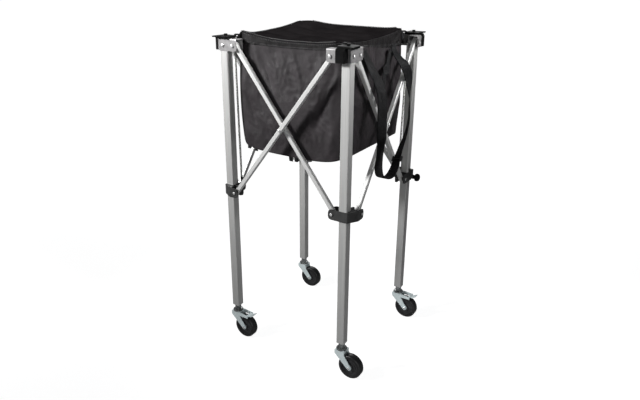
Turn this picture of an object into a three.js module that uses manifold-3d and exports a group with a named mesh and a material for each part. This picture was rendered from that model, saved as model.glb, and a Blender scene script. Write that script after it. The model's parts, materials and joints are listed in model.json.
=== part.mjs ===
// Folding ball cart: four tube legs on casters, a scissor frame on every side and a lidded fabric bag.
// Millimetres, +Z up. One corner is modelled once, with its leg centre on the z axis, and turned to the others.
// In a corner's own axes the two walls of the cart leave the leg along -X and along +Y.
import * as THREE from 'three';
import { mergeVertices } from 'three/addons/utils/BufferGeometryUtils.js';
import Module from 'manifold-3d';

const wasm = await Module();
wasm.setup();

// Clearances
const touchGap = 0.3;
const runGap = 0.4;
const overrun = 5;
const mergeDistance = 1e-4;

// Frame
const legSpacing = 395;
const legSide = 25;
const legWall = 1.5;
const legCorner = 2.5;
const legFootZ = 109;
const legTopZ = 963;
const topPinDrop = 16;
const pinSpan = 430;
const pinOffset = 34;
const pinDiameter = 6;
const headDiameter = 11;
const headThickness = 2;
const linkSide = 12.5;
const linkWall = 1.4;
const linkCorner = 1.5;
const linkOverhang = 10;
const linkPlaneGap = 6;

// Sheet metal saddles that hold the upper ends of the links
const saddleWall = 2.4;
const saddleDrop = 31;
const saddleCorner = 7;
const longSaddleReach = 48;
const shortSaddleReach = 45;
const shortSaddleStart = 19;
const saddleFlange = 8;
const spacerDiameter = 12;

// Moulded corner block with its cap plate, screw and bag hook
const blockCorner = 3;
const blockTongue = 2;
const capSide = 44;
const capCorner = 5;
const capThickness = 4;
const capBeakThickness = 2.4;
const capBeak = 5;
const screwHeadDiameter = 10;
const screwHeadHeight = 5;
const hookWidth = 8;
const hookThickness = 4;
const hookRise = 4;
const hookTipDrop = 3;

// Moulded sliding collars at the lower ends of the links
const collarHeight = 30;
const collarPinRise = 16;
const collarWall = 2.7;
const collarReach = 45;
const collarEarWall = 3.4;
const collarEarCorner = 10;
const collarEarGap = 24;
const collarBossDiameter = 15;

// Lock knob on one collar
const lockPinDiameter = 8;
const lockHousingDiameter = 15;
const lockHousingLength = 14;
const lockKnobDiameter = 25;
const lockKnobLength = 20;
const lockNeckLength = 6;
const lockLugHeight = 11;
const lockLugLength = 13;
const lockLugThickness = 8;
const knobSkirtShare = 0.9;
const knobCrownShare = 0.85;

// Casters
const wheelDiameter = 76;
const wheelSides = 24;
const treadWidth = 24;
const treadRound = 4;
const hubWidth = 25;
const hubDiameter = 20;
const webWidth = 15;
const rimDiameter = 54;
const axleDiameter = 8;
const trail = 33;
const forkSheet = 2.2;
const forkGap = 26;
const forkPlateTopZ = 86;
const forkPlateThickness = 3;
const forkHeadWidth = 32;
const forkHeadDepth = 12;
const forkBossRadius = 8;
const raceDiameter = 33;
const raceHeight = 6.5;
const raceCrown = 3;
const stemDiameter = 20;
const plugLength = 26;
const kingpinDiameter = 9;
const kingpinHeadDiameter = 15;
const kingpinHeadThickness = 2;

// Brake pedals on two of the casters
const pedalPivotX = 46;
const pedalPivotZ = 80.5;
const pedalPinDiameter = 4.4;
const pedalHubDiameter = 8;
const pedalWidth = 20;
const pedalSheet = 2;
const pedalTipX = 69;
const pedalTipZ = 90;
const pedalToeX = 57;
const pedalToeZ = 80;
const earLength = 7;
const earDrop = 6;

// Bag
const bagClearance = 16.5;
const bagChamfer = 30;
const bagCloth = 2;
const rimRise = 1;
const bagDepth = 317;
const bagCornerLift = 21;
const bagCornerPower = 4;
const hemHeight = 15;
const hemProud = 1.2;
const bagBulge = 3;
const bulgeShare = 0.5;
const shoulderShare = 0.8;
const floorLift = 4;
const lidSag = 6;
const lidHump = 12;
const lidHumpPower = 3;
const seamWidth = 10;
const loopStrip = 4.4;
const loopSide = 2.7;
const loopDrop = 3;
const sliderWidth = 9;
const sliderDepth = 3;
const sliderHeight = 8;
const pullWidth = 5;
const pullLength = 26;
const pullThickness = 1.5;
const sliderInset = 43;

// Carrying strap sewn to the right wall: its middle line in route steps and the turn of its width about z
const strapWidth = 27;
const strapThickness = 2;
const routeStep = 1;
const strapRoute = [
  [182.9, -86, 947, 0], [183.6, -84, 935, 0], [186, -75, 922, 5], [192, -69, 907, 12], [202, -69, 890, 20],
  [214, -68, 871, 28], [225, -69, 850, 36], [233, -72, 828, 42], [238, -76, 792, 45], [239, -77, 753, 50],
  [240, -78, 719, 75], [241, -82, 695, 105], [241, -86, 670, 115], [242, -91, 648, 112], [242, -92, 628, 100],
  [242, -82, 606, 92], [242, -55, 591, 90], [242, -22, 586, 90], [242, 4, 596, 95], [241, 23, 615, 110],
  [240, 40, 636, 125], [239, 59, 657, 137], [238, 80, 677, 145], [237, 98, 699, 147], [237, 107, 727, 147],
  [237, 107, 762, 150], [237, 103, 796, 160], [237, 98, 826, 180], [237, 90, 853, 205], [235, 78, 878, 220],
  [226, 68, 898, 215], [212, 70, 911, 200], [198, 80, 921, 188], [187, 91, 929, 182], [183.6, 94, 937, 180],
  [182.9, 94, 947, 180],
];

// Elastic cords that pull two of the collars up, each from a saddle's pin down to its collar
const cordDiameter = 6;
const cordEyeDiameter = 12;
const cordEyeThickness = 5;
const ferruleDiameter = 8;
const ferruleLength = 14;
const cordLean = 2;

// Facets
const roundSteps = 8;
const turnedSteps = 14;
const cornerSteps = 2;
const bossSteps = 4;
const linkCornerSteps = 1;

// Derived places
const half = legSpacing / 2;
const topPinZ = legTopZ - topPinDrop;
const lowPinZ = topPinZ - pinSpan;
const saddleBottomZ = legTopZ - saddleDrop;
const hookTipZ = legTopZ - hookTipDrop;
const collarBottomZ = lowPinZ - collarPinRise;
const bagHalf = half - bagClearance;
const bagRimZ = legTopZ + rimRise;
const sliderPlace = bagHalf - sliderInset;
const bagMiddleZ = bagRimZ - bagDepth;
const legHalf = legSide / 2;
const linkSpan = legSpacing - 2 * pinOffset;
const linkLength = Math.hypot(linkSpan, pinSpan);
const linkLean = Math.atan2(linkSpan, pinSpan);
const outerPlane = linkSide + linkPlaneGap;
const saddleHalf = legHalf + touchGap + saddleWall;
const saddleTopZ = legTopZ + touchGap + saddleWall;
const capBottomZ = saddleTopZ + touchGap;
const capTopZ = capBottomZ + capThickness + capBeakThickness;
const collarHalf = legHalf + touchGap + collarWall;
const cornerDistance = half * Math.SQRT2;
const bagCornerReach = cornerDistance - (2 * bagHalf - bagChamfer) / Math.SQRT2;
const hookTipReach = bagCornerReach - hemProud - loopStrip - 2 * touchGap;
const wheelRadius = wheelDiameter / 2;
const axleZ = wheelRadius * Math.cos(Math.PI / wheelSides);
const raceBottomZ = forkPlateTopZ + touchGap;
const raceTopZ = raceBottomZ + raceHeight;

// Turns a closed geometry into a solid that can be joined and cut
function solid(geometry) {
  geometry.deleteAttribute('normal');
  geometry.deleteAttribute('uv');
  const merged = mergeVertices(geometry, mergeDistance);
  const vertProperties = new Float32Array(merged.getAttribute('position').array);
  const triVerts = new Uint32Array(merged.getIndex().array);
  return new wasm.Manifold(new wasm.Mesh({ numProp: 3, vertProperties, triVerts }));
}

// Turns a finished solid back into a geometry
function geometryOf(body) {
  const mesh = body.getMesh();
  const geometry = new THREE.BufferGeometry();
  geometry.setAttribute('position', new THREE.BufferAttribute(new Float32Array(mesh.vertProperties), 3));
  geometry.setIndex(new THREE.BufferAttribute(new Uint32Array(mesh.triVerts), 1));
  geometry.computeVertexNormals();
  return geometry;
}

// A box between two values on each axis
function block(x0, x1, y0, y1, z0, z1) {
  const geometry = new THREE.BoxGeometry(x1 - x0, y1 - y0, z1 - z0);
  geometry.translate((x0 + x1) / 2, (y0 + y1) / 2, (z0 + z1) / 2);
  return solid(geometry);
}

// A round bar along x, y or z through a point, from one value to another
function bar(axis, diameter, from, to, a, b, sides = roundSteps) {
  const geometry = new THREE.CylinderGeometry(diameter / 2, diameter / 2, to - from, sides);
  const middle = (from + to) / 2;
  if (axis === 'x') {
    geometry.rotateZ(Math.PI / 2);
    geometry.translate(middle, a, b);
  } else if (axis === 'y') {
    geometry.translate(a, middle, b);
  } else {
    geometry.rotateX(Math.PI / 2);
    geometry.translate(a, b, middle);
  }
  return solid(geometry);
}

// A headed rivet along x or y: a shank between two faces with a head on each
function rivet(axis, from, to, a, b) {
  const shank = bar(axis, pinDiameter, from - headThickness / 2, to + headThickness / 2, a, b);
  const firstHead = bar(axis, headDiameter, from - headThickness, from, a, b);
  const lastHead = bar(axis, headDiameter, to, to + headThickness, a, b);
  return shank.add(firstHead).add(lastHead);
}

// A closed outline from corner points, each with its own rounding radius
function roundedOutline(points) {
  const shape = new THREE.Shape();
  points.forEach(([x, y, radius = 0], index) => {
    const before = points[(index + points.length - 1) % points.length];
    const after = points[(index + 1) % points.length];
    const here = new THREE.Vector2(x, y);
    const back = new THREE.Vector2(before[0] - x, before[1] - y).normalize();
    const ahead = new THREE.Vector2(after[0] - x, after[1] - y).normalize();
    const start = here.clone().addScaledVector(back, radius);
    const end = here.clone().addScaledVector(ahead, radius);
    if (index === 0) shape.moveTo(start.x, start.y);
    else shape.lineTo(start.x, start.y);
    if (radius > 0) shape.quadraticCurveTo(x, y, end.x, end.y);
  });
  shape.closePath();
  return shape;
}

// A square outline with rounded corners about the origin
function squareOutline(side, radius) {
  const s = side / 2;
  return roundedOutline([[s, -s, radius], [s, s, radius], [-s, s, radius], [-s, -s, radius]]);
}

// An outline drawn in plan and raised between two heights
function raised(shape, z0, z1, curveSegments = cornerSteps) {
  const geometry = new THREE.ExtrudeGeometry(shape, { depth: z1 - z0, bevelEnabled: false, curveSegments });
  geometry.translate(0, 0, z0);
  return solid(geometry);
}

// An outline drawn looking along +Y, as x and z, between two y values
function alongY(shape, y0, y1, curveSegments = cornerSteps) {
  const geometry = new THREE.ExtrudeGeometry(shape, { depth: y1 - y0, bevelEnabled: false, curveSegments });
  geometry.rotateX(Math.PI / 2);
  geometry.translate(0, y1, 0);
  return solid(geometry);
}

// An outline drawn looking along -X, as y and z, between two x values
function alongX(shape, x0, x1, curveSegments = cornerSteps) {
  const geometry = new THREE.ExtrudeGeometry(shape, { depth: x1 - x0, bevelEnabled: false, curveSegments });
  geometry.rotateY(Math.PI / 2);
  geometry.rotateX(Math.PI / 2);
  geometry.translate(x0, 0, 0);
  return solid(geometry);
}

// Materials
function finish(color, roughness, metalness) {
  return { color, roughness, metalness };
}
const satinAluminium = finish(0xb9bbbc, 0.38, 0.9);
const zincSheet = finish(0x9a9a9c, 0.42, 0.85);
const zincFork = finish(0xa9b4b8, 0.3, 0.9);
const brightRivet = finish(0xcfd0d0, 0.25, 1);
const blackPlastic = finish(0x161616, 0.5, 0);
const greyPlastic = finish(0x8d8f90, 0.6, 0);
const blackRubber = finish(0x1b1b1c, 0.55, 0);
const blackCloth = finish(0x2b292a, 0.9, 0);
const blackWebbing = finish(0x1a1a1b, 0.85, 0);
const speckledCord = finish(0x6e6d6b, 0.85, 0);

// A named mesh with a material of its own
function part(name, geometry, look) {
  const mesh = new THREE.Mesh(geometry, new THREE.MeshStandardMaterial(look));
  mesh.name = name;
  return mesh;
}

const cart = new THREE.Group();

// The four corners: their names and the quarter turns that bring the front right corner to them
const corners = [
  { leg: 'front', turns: 0, braked: false, corded: false },
  { leg: 'right', turns: 1, braked: true, corded: true },
  { leg: 'back', turns: 2, braked: false, corded: false },
  { leg: 'left', turns: 3, braked: true, corded: true },
];
const lockCorner = 'right';

// A group whose own z axis is the centre of one leg
function cornerGroup(corner) {
  const turned = new THREE.Group();
  turned.rotation.z = corner.turns * Math.PI / 2;
  const placed = new THREE.Group();
  placed.position.set(half, -half, 0);
  turned.add(placed);
  cart.add(turned);
  return placed;
}

// A group for what keeps its own heading at one leg, such as the casters
function headingGroup(corner) {
  const placed = new THREE.Group();
  const place = new THREE.Vector3(half, -half, 0);
  place.applyAxisAngle(new THREE.Vector3(0, 0, 1), corner.turns * Math.PI / 2);
  placed.position.copy(place);
  cart.add(placed);
  return placed;
}

// Leg tube, with the rivet holes of its long saddle and, on one leg, the hole of the lock pin
function legTube(locked) {
  const tube = squareOutline(legSide, legCorner);
  const innerSide = legSide - 2 * legWall;
  tube.holes.push(squareOutline(innerSide, legCorner - legWall));
  let body = raised(tube, legFootZ, legTopZ);
  const rivetHole = pinDiameter + 2 * touchGap;
  body = body.subtract(bar('x', rivetHole, -legSide, legSide, 0, topPinZ));
  if (locked) {
    const lockHole = lockPinDiameter + 2 * runGap;
    body = body.subtract(bar('y', lockHole, -legSide, 0, 0, lowPinZ));
  }
  return geometryOf(body);
}

// Inverted U of sheet metal, run along x from start to reach, with round lower corners at its far end
function saddleSheet(start, reach) {
  const inner = saddleHalf - saddleWall;
  const outer = alongX(roundedOutline([
    [-saddleHalf, saddleBottomZ], [saddleHalf, saddleBottomZ],
    [saddleHalf, saddleTopZ, saddleWall], [-saddleHalf, saddleTopZ, saddleWall],
  ]), start, reach);
  const channel = block(start - overrun, reach + overrun, -inner, inner, saddleBottomZ - overrun,
    saddleTopZ - saddleWall);
  const side = alongY(roundedOutline([
    [start, saddleBottomZ], [reach, saddleBottomZ, saddleCorner], [reach, saddleTopZ], [start, saddleTopZ],
  ]), -saddleHalf - overrun, saddleHalf + overrun);
  return outer.subtract(channel).intersect(side);
}

// A link pin across a saddle that runs along x: rivet and a spacer on each side of the link
function saddlePin() {
  const wallFace = saddleHalf;
  const inner = saddleHalf - saddleWall;
  const linkFace = linkSide / 2 + runGap;
  const overlap = saddleWall / 2;
  const pin = rivet('y', -wallFace, wallFace, pinOffset, topPinZ);
  const near = bar('y', spacerDiameter, -inner - overlap, -linkFace, pinOffset, topPinZ);
  const far = bar('y', spacerDiameter, linkFace, inner + overlap, pinOffset, topPinZ);
  return pin.add(near).add(far);
}

// Long saddle: straddles the leg, is riveted through it and reaches out along +Y
function longSaddle() {
  const front = legHalf + touchGap + saddleWall;
  const sheet = saddleSheet(-front, longSaddleReach);
  const flange = block(-front, -front + saddleWall, -saddleHalf, -saddleHalf + saddleFlange, saddleBottomZ,
    saddleTopZ - saddleWall / 2);
  const legRivet = rivet('y', -saddleHalf, saddleHalf, 0, topPinZ);
  const geometry = geometryOf(sheet.add(flange).add(legRivet).add(saddlePin()));
  geometry.rotateZ(Math.PI / 2);
  return geometry;
}

// Short saddle: beside the leg, in the outer link's plane, reaching out along -X
function shortSaddle() {
  const geometry = geometryOf(saddleSheet(shortSaddleStart, shortSaddleReach).add(saddlePin()));
  geometry.rotateZ(Math.PI);
  geometry.translate(0, -outerPlane, 0);
  return geometry;
}

// Corner block: fills the corner between the saddles, carries the cap plate, its screw and the bag hook
function cornerBlock() {
  const saddleInner = saddleHalf - saddleWall - touchGap;
  const front = -outerPlane - saddleHalf;
  const flangeEdge = saddleHalf - saddleFlange - touchGap;
  const legFace = -legHalf - touchGap;
  const wallEdge = -saddleHalf - touchGap;
  const shoulder = -shortSaddleStart + touchGap;
  const tongueEnd = -shortSaddleStart - blockTongue;
  const plan = roundedOutline([
    [shoulder, front], [flangeEdge, front, blockCorner], [flangeEdge, legFace], [-legHalf, legFace],
    [-legHalf, wallEdge], [wallEdge, wallEdge], [wallEdge, -outerPlane + saddleInner],
    [tongueEnd, -outerPlane + saddleInner], [tongueEnd, -outerPlane - saddleInner],
    [shoulder, -outerPlane - saddleInner],
  ]);
  const lower = raised(plan, saddleBottomZ, saddleTopZ - saddleWall - touchGap);
  const neck = block(shoulder, flangeEdge, front + blockCorner, wallEdge,
    saddleTopZ - saddleWall - touchGap - blockCorner, capBottomZ + capThickness / 2);
  const plate = raised(squareOutline(capSide, capCorner), capBottomZ, capBottomZ + capThickness);
  const edge = capSide / 2;
  const beakPlan = roundedOutline([
    [-edge, -edge, capCorner], [edge, -edge - capBeak, capCorner / 2], [edge + capBeak, -edge - capBeak],
    [edge + capBeak, -edge, 0], [edge, edge, capCorner], [-edge, edge, capCorner],
  ]);
  const beak = raised(beakPlan, capBottomZ + capThickness - capBeakThickness / 2, capTopZ);
  const head = bar('z', screwHeadDiameter, capTopZ - capBeakThickness, capTopZ + screwHeadHeight, 0, 0);
  return geometryOf(lower.add(neck).add(plate).add(beak).add(head).add(bagHook()));
}

// Hook for the bag's corner tab: a flat bar bent up from the cap plate, over and down towards the bag
function bagHook() {
  const tipReach = hookTipReach;
  const rootReach = capSide / 2 * Math.SQRT2 - hookThickness;
  const topZ = capTopZ + hookRise;
  const innerCorner = hookThickness / 2;
  const outline = roundedOutline([
    [rootReach - hookThickness, capBottomZ + capThickness], [rootReach, capBottomZ + capThickness],
    [rootReach, topZ - hookThickness, innerCorner],
    [tipReach - hookThickness, topZ - hookThickness, innerCorner], [tipReach - hookThickness, hookTipZ],
    [tipReach, hookTipZ], [tipReach, topZ, hookThickness], [rootReach - hookThickness, topZ, hookThickness],
  ]);
  const geometry = new THREE.ExtrudeGeometry(outline, {
    depth: hookWidth, bevelEnabled: false, curveSegments: cornerSteps,
  });
  geometry.translate(0, 0, -hookWidth / 2);
  geometry.rotateX(Math.PI / 2);
  geometry.rotateZ(3 * Math.PI / 4);
  return solid(geometry);
}

// Sliding collar: a sleeve on the leg, a flush fork for the inner link and a flared fork for the outer one
function collar(locked) {
  const top = collarBottomZ + collarHeight;
  const sleeve = raised(squareOutline(2 * collarHalf, legCorner), collarBottomZ, top);
  const bore = raised(squareOutline(legSide + 2 * touchGap, legCorner), collarBottomZ - overrun, top + overrun);
  const ear = collarEarGap / 2;
  const earOut = ear + collarEarWall;
  const inside = collarHalf - collarWall;
  const sideX = roundedOutline([
    [0, collarBottomZ], [0, top], [-collarReach, top, collarEarCorner],
    [-collarReach, collarBottomZ, collarEarCorner],
  ].reverse());
  const flush = [[-earOut, -ear], [ear, earOut]].map(([low, high]) => {
    return block(-collarReach, -inside, low, high, collarBottomZ, top);
  });
  const flushFork = flush[0].add(flush[1]).intersect(alongY(sideX, -collarReach, collarReach));
  const flareStart = -collarHalf;
  const outerFace = outerPlane + earOut;
  const flaredPlan = roundedOutline([
    [inside, flareStart], [collarHalf, flareStart], [outerFace, collarHalf, collarWall],
    [outerFace, collarReach], [outerFace - collarEarWall, collarReach],
    [outerFace - collarEarWall, collarHalf + collarWall], [inside, collarHalf + collarWall],
  ]);
  const innerEar = outerPlane - ear;
  const flaredEar = block(innerEar - collarEarWall, innerEar, inside, collarReach, collarBottomZ, top);
  const sideY = roundedOutline([
    [-collarReach, collarBottomZ], [collarReach, collarBottomZ, collarEarCorner],
    [collarReach, top, collarEarCorner], [-collarReach, top],
  ]);
  const flaredFork = raised(flaredPlan, collarBottomZ, top).add(flaredEar)
    .intersect(alongX(sideY, -collarReach, outerFace + overrun));
  const linkFace = linkSide / 2 + runGap;
  const bosses = [
    bar('y', collarBossDiameter, -ear, -linkFace, -pinOffset, lowPinZ),
    bar('y', collarBossDiameter, linkFace, ear, -pinOffset, lowPinZ),
    bar('x', collarBossDiameter, innerEar, outerPlane - linkFace, pinOffset, lowPinZ),
    bar('x', collarBossDiameter, outerPlane + linkFace, outerPlane + ear, pinOffset, lowPinZ),
  ];
  let body = sleeve.add(flushFork).add(flaredFork).subtract(bore);
  bosses.forEach((boss) => {
    body = body.add(boss);
  });
  body = body.add(rivet('y', -earOut, earOut, -pinOffset, lowPinZ));
  body = body.add(rivet('x', outerPlane - earOut, outerFace, pinOffset, lowPinZ));
  if (locked) body = addLockHousing(body);
  return geometryOf(body);
}

// Housing of the lock pin on the collar's outer face, with its lug above
function addLockHousing(body) {
  const face = -collarHalf;
  const housing = bar('y', lockHousingDiameter, face - lockHousingLength, face, 0, lowPinZ);
  const lugBottom = collarBottomZ + collarHeight - lockLugThickness / 2;
  const lugTop = collarBottomZ + collarHeight + lockLugHeight;
  const lug = block(-lockLugThickness / 2, lockLugThickness / 2, face - lockLugLength + collarWall,
    face + collarWall, lugBottom, lugTop);
  const rib = block(-lockLugThickness / 2, lockLugThickness / 2, face - lockLugLength + collarWall, face,
    lowPinZ, lugTop);
  const bore = bar('y', lockPinDiameter + 2 * runGap, face - lockHousingLength - overrun, face + legHalf,
    0, lowPinZ);
  return body.add(housing).add(lug).add(rib).subtract(bore);
}

// Lock pin and its mushroom knob, which is pulled straight out
function lockPin() {
  const tip = legHalf + touchGap;
  const neck = collarHalf + lockHousingLength + touchGap;
  const knob = neck + lockNeckLength;
  const radius = lockKnobDiameter / 2;
  const end = knob + lockKnobLength - lockNeckLength;
  const profile = [
    [0, tip], [lockPinDiameter / 2, tip], [lockPinDiameter / 2, neck], [radius / 2, neck],
    [radius / 2, knob], [radius * knobSkirtShare, knob + runGap], [radius, knob + lockNeckLength / 2],
    [radius, end - lockNeckLength], [radius * knobCrownShare, end - lockNeckLength / 3],
    [radius / 2, end], [0, end],
  ].map(([r, y]) => new THREE.Vector2(r, y));
  const geometry = new THREE.LatheGeometry(profile, turnedSteps);
  const body = solid(geometry);
  const shaped = geometryOf(body);
  shaped.rotateX(Math.PI);
  shaped.translate(0, 0, lowPinZ);
  return shaped;
}

// Scissor link: a square tube with three pin holes, from the upper pin at the origin down to the lower one
function linkTube() {
  const outline = squareOutline(linkSide, linkCorner);
  outline.holes.push(squareOutline(linkSide - 2 * linkWall, linkCorner - linkWall / 2));
  let body = raised(outline, -linkLength - linkOverhang, linkOverhang, linkCornerSteps);
  const hole = pinDiameter + 2 * touchGap;
  [0, -linkLength / 2, -linkLength].forEach((z) => {
    body = body.subtract(bar('y', hole, -linkSide, linkSide, 0, z));
  });
  return geometryOf(body);
}

// Crossing rivet with the spacer washer that keeps the two links apart, centred on the outer link's plane
function crossingRivet() {
  const outerFace = -outerPlane - linkSide / 2 - touchGap;
  const innerFace = linkSide / 2 + touchGap;
  const middleZ = (topPinZ + lowPinZ) / 2;
  const pin = rivet('y', outerFace, innerFace, 0, middleZ);
  const washer = bar('y', spacerDiameter, -outerPlane + linkSide / 2 + touchGap, -linkSide / 2 - touchGap,
    0, middleZ);
  return geometryOf(pin.add(washer));
}

// Caster stem: plug in the leg, neck, domed ball race and the kingpin that carries the fork
function casterStem() {
  const plugRadius = legSide / 2 - legWall - touchGap;
  const race = raceDiameter / 2;
  const kingpin = kingpinDiameter / 2;
  const head = kingpinHeadDiameter / 2;
  const underPlate = forkPlateTopZ - forkPlateThickness - runGap;
  const profile = [
    [0, underPlate - kingpinHeadThickness], [head, underPlate - kingpinHeadThickness], [head, underPlate],
    [kingpin, underPlate], [kingpin, raceBottomZ], [race, raceBottomZ], [race, raceTopZ - raceCrown],
    [race - raceCrown, raceTopZ - raceCrown / 3], [stemDiameter / 2, raceTopZ],
    [stemDiameter / 2, legFootZ - touchGap], [plugRadius, legFootZ - touchGap],
    [plugRadius, legFootZ + plugLength], [0, legFootZ + plugLength],
  ].map(([r, z]) => new THREE.Vector2(r, z));
  const geometry = new THREE.LatheGeometry(profile, turnedSteps);
  geometry.rotateX(Math.PI / 2);
  return geometryOf(solid(geometry));
}

// Caster fork: head plate, two tapering arms and the axle riveted through them
function casterFork(braked) {
  const arm = forkGap / 2;
  const armOut = arm + forkSheet;
  const side = new THREE.Shape();
  const headHalf = forkHeadWidth / 2;
  const headBottom = forkPlateTopZ - forkHeadDepth;
  const lean = Math.atan2(trail - headHalf / 2, forkPlateTopZ - axleZ);
  side.moveTo(-headHalf, forkPlateTopZ);
  side.lineTo(-headHalf, headBottom);
  side.lineTo(trail - forkBossRadius * Math.cos(lean), axleZ - forkBossRadius * Math.sin(lean));
  side.absarc(trail, axleZ, forkBossRadius, Math.PI + lean, 2 * Math.PI + lean / 2, false);
  side.lineTo(headHalf, headBottom);
  if (braked) {
    side.lineTo(pedalPivotX - earLength / 2, pedalPivotZ - earDrop);
    side.lineTo(pedalPivotX + earLength / 2, pedalPivotZ - earDrop);
    side.lineTo(pedalPivotX + earLength / 2, pedalPivotZ + earDrop / 2);
    side.lineTo(headHalf, forkPlateTopZ);
  } else {
    side.lineTo(headHalf, forkPlateTopZ);
  }
  side.closePath();
  const arms = alongY(side, -armOut, armOut, bossSteps);
  const space = block(-headHalf - overrun, pedalPivotX + earLength, -arm, arm, -overrun,
    forkPlateTopZ - forkPlateThickness);
  const frontOpen = block(headHalf, pedalPivotX + earLength, -arm, arm, 0, forkPlateTopZ + overrun);
  let body = arms.subtract(space).subtract(frontOpen);
  body = body.add(bar('z', raceDiameter, forkPlateTopZ - forkPlateThickness, forkPlateTopZ, 0, 0, turnedSteps));
  body = body.subtract(bar('z', kingpinDiameter + 2 * runGap, 0, forkPlateTopZ + overrun, 0, 0));
  const axle = bar('y', axleDiameter, -armOut - headThickness / 2, armOut + headThickness / 2, trail, axleZ);
  body = body.add(axle);
  body = body.add(bar('y', headDiameter, -armOut - headThickness, -armOut, trail, axleZ));
  body = body.add(bar('y', headDiameter, armOut, armOut + headThickness, trail, axleZ));
  if (braked) {
    const pivotHole = pedalPinDiameter + 2 * touchGap;
    body = body.subtract(bar('y', pivotHole, -armOut - overrun, armOut + overrun, pedalPivotX, pedalPivotZ));
  }
  return geometryOf(body);
}

// Wheel: hub, thin web and a tyre with a flat tread and round shoulders, one facet square to the floor
function casterWheel() {
  const bore = axleDiameter / 2 + touchGap;
  const tread = treadWidth / 2;
  const shoulder = wheelRadius - treadRound;
  const profile = [
    [bore, -hubWidth / 2], [hubDiameter / 2, -hubWidth / 2], [hubDiameter / 2, -webWidth / 2],
    [rimDiameter / 2, -webWidth / 2], [rimDiameter / 2, -tread], [shoulder, -tread],
    [wheelRadius, -tread + treadRound], [wheelRadius, tread - treadRound], [shoulder, tread],
    [rimDiameter / 2, tread], [rimDiameter / 2, webWidth / 2], [hubDiameter / 2, webWidth / 2],
    [hubDiameter / 2, hubWidth / 2], [bore, hubWidth / 2], [bore, -hubWidth / 2],
  ].map(([r, y]) => new THREE.Vector2(r, y));
  const geometry = new THREE.LatheGeometry(profile, wheelSides);
  geometry.rotateY(Math.PI / wheelSides);
  geometry.translate(trail, 0, axleZ);
  return geometryOf(solid(geometry));
}

// Brake pedal: a bent sheet on a pivot pin between the fork's ears
function brakePedal() {
  const hub = pedalHubDiameter / 2;
  const outline = roundedOutline([
    [pedalPivotX, pedalPivotZ + hub - pedalSheet], [pedalToeX, pedalToeZ, pedalSheet],
    [pedalTipX, pedalTipZ - pedalSheet], [pedalTipX, pedalTipZ],
    [pedalToeX - pedalSheet, pedalToeZ + pedalSheet + pedalSheet / 2, pedalSheet],
    [pedalPivotX, pedalPivotZ + hub],
  ]);
  const sheet = alongY(outline, -pedalWidth / 2, pedalWidth / 2);
  const knuckle = bar('y', pedalHubDiameter, -pedalWidth / 2, pedalWidth / 2, pedalPivotX, pedalPivotZ);
  const pinHalf = forkGap / 2 + forkSheet + touchGap;
  const pin = bar('y', pedalPinDiameter, -pinHalf, pinHalf, pedalPivotX, pedalPivotZ);
  return geometryOf(sheet.add(knuckle).add(pin));
}

// A closed sheet between an outer and an inner surface, each given on a grid of columns and rows
function sheetBody(columns, rows, outer, inner) {
  const positions = [];
  const index = [];
  const place = (point) => positions.push(point.x, point.y, point.z);
  for (let c = 0; c <= columns; c += 1) {
    for (let r = 0; r <= rows; r += 1) place(outer(c, r));
  }
  const offset = positions.length / 3;
  for (let c = 0; c <= columns; c += 1) {
    for (let r = 0; r <= rows; r += 1) place(inner(c, r));
  }
  const at = (c, r) => c * (rows + 1) + r;
  const quad = (a, b, c, d) => index.push(a, b, c, a, c, d);
  for (let c = 0; c < columns; c += 1) {
    for (let r = 0; r < rows; r += 1) {
      quad(at(c, r), at(c + 1, r), at(c + 1, r + 1), at(c, r + 1));
      quad(offset + at(c, r), offset + at(c, r + 1), offset + at(c + 1, r + 1), offset + at(c + 1, r));
    }
    quad(at(c, 0), offset + at(c, 0), offset + at(c + 1, 0), at(c + 1, 0));
    quad(at(c, rows), at(c + 1, rows), offset + at(c + 1, rows), offset + at(c, rows));
  }
  for (let r = 0; r < rows; r += 1) {
    quad(at(0, r), at(0, r + 1), offset + at(0, r + 1), offset + at(0, r));
    quad(at(columns, r), offset + at(columns, r), offset + at(columns, r + 1), at(columns, r + 1));
  }
  const geometry = new THREE.BufferGeometry();
  geometry.setAttribute('position', new THREE.BufferAttribute(new Float32Array(positions), 3));
  geometry.setIndex(index);
  return geometry;
}

// Plan of a bag wall, moved in by some depth: stations from one corner's middle to the other's
const wallShares = [-1, -0.6, -0.2, 0.2, 0.6, 1];
function wallStation(c, depth) {
  const bend = bagHalf - bagChamfer + depth - depth * Math.SQRT2;
  const bevelHalf = (2 * bagHalf - bagChamfer - depth * Math.SQRT2) / 2;
  const slip = touchGap / 2 / Math.SQRT2;
  if (c === 0) return new THREE.Vector2(-bevelHalf + slip, -bevelHalf - slip);
  if (c === wallShares.length + 1) return new THREE.Vector2(bevelHalf - slip, -bevelHalf - slip);
  return new THREE.Vector2(bend * wallShares[c - 1], -(bagHalf - depth));
}

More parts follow.
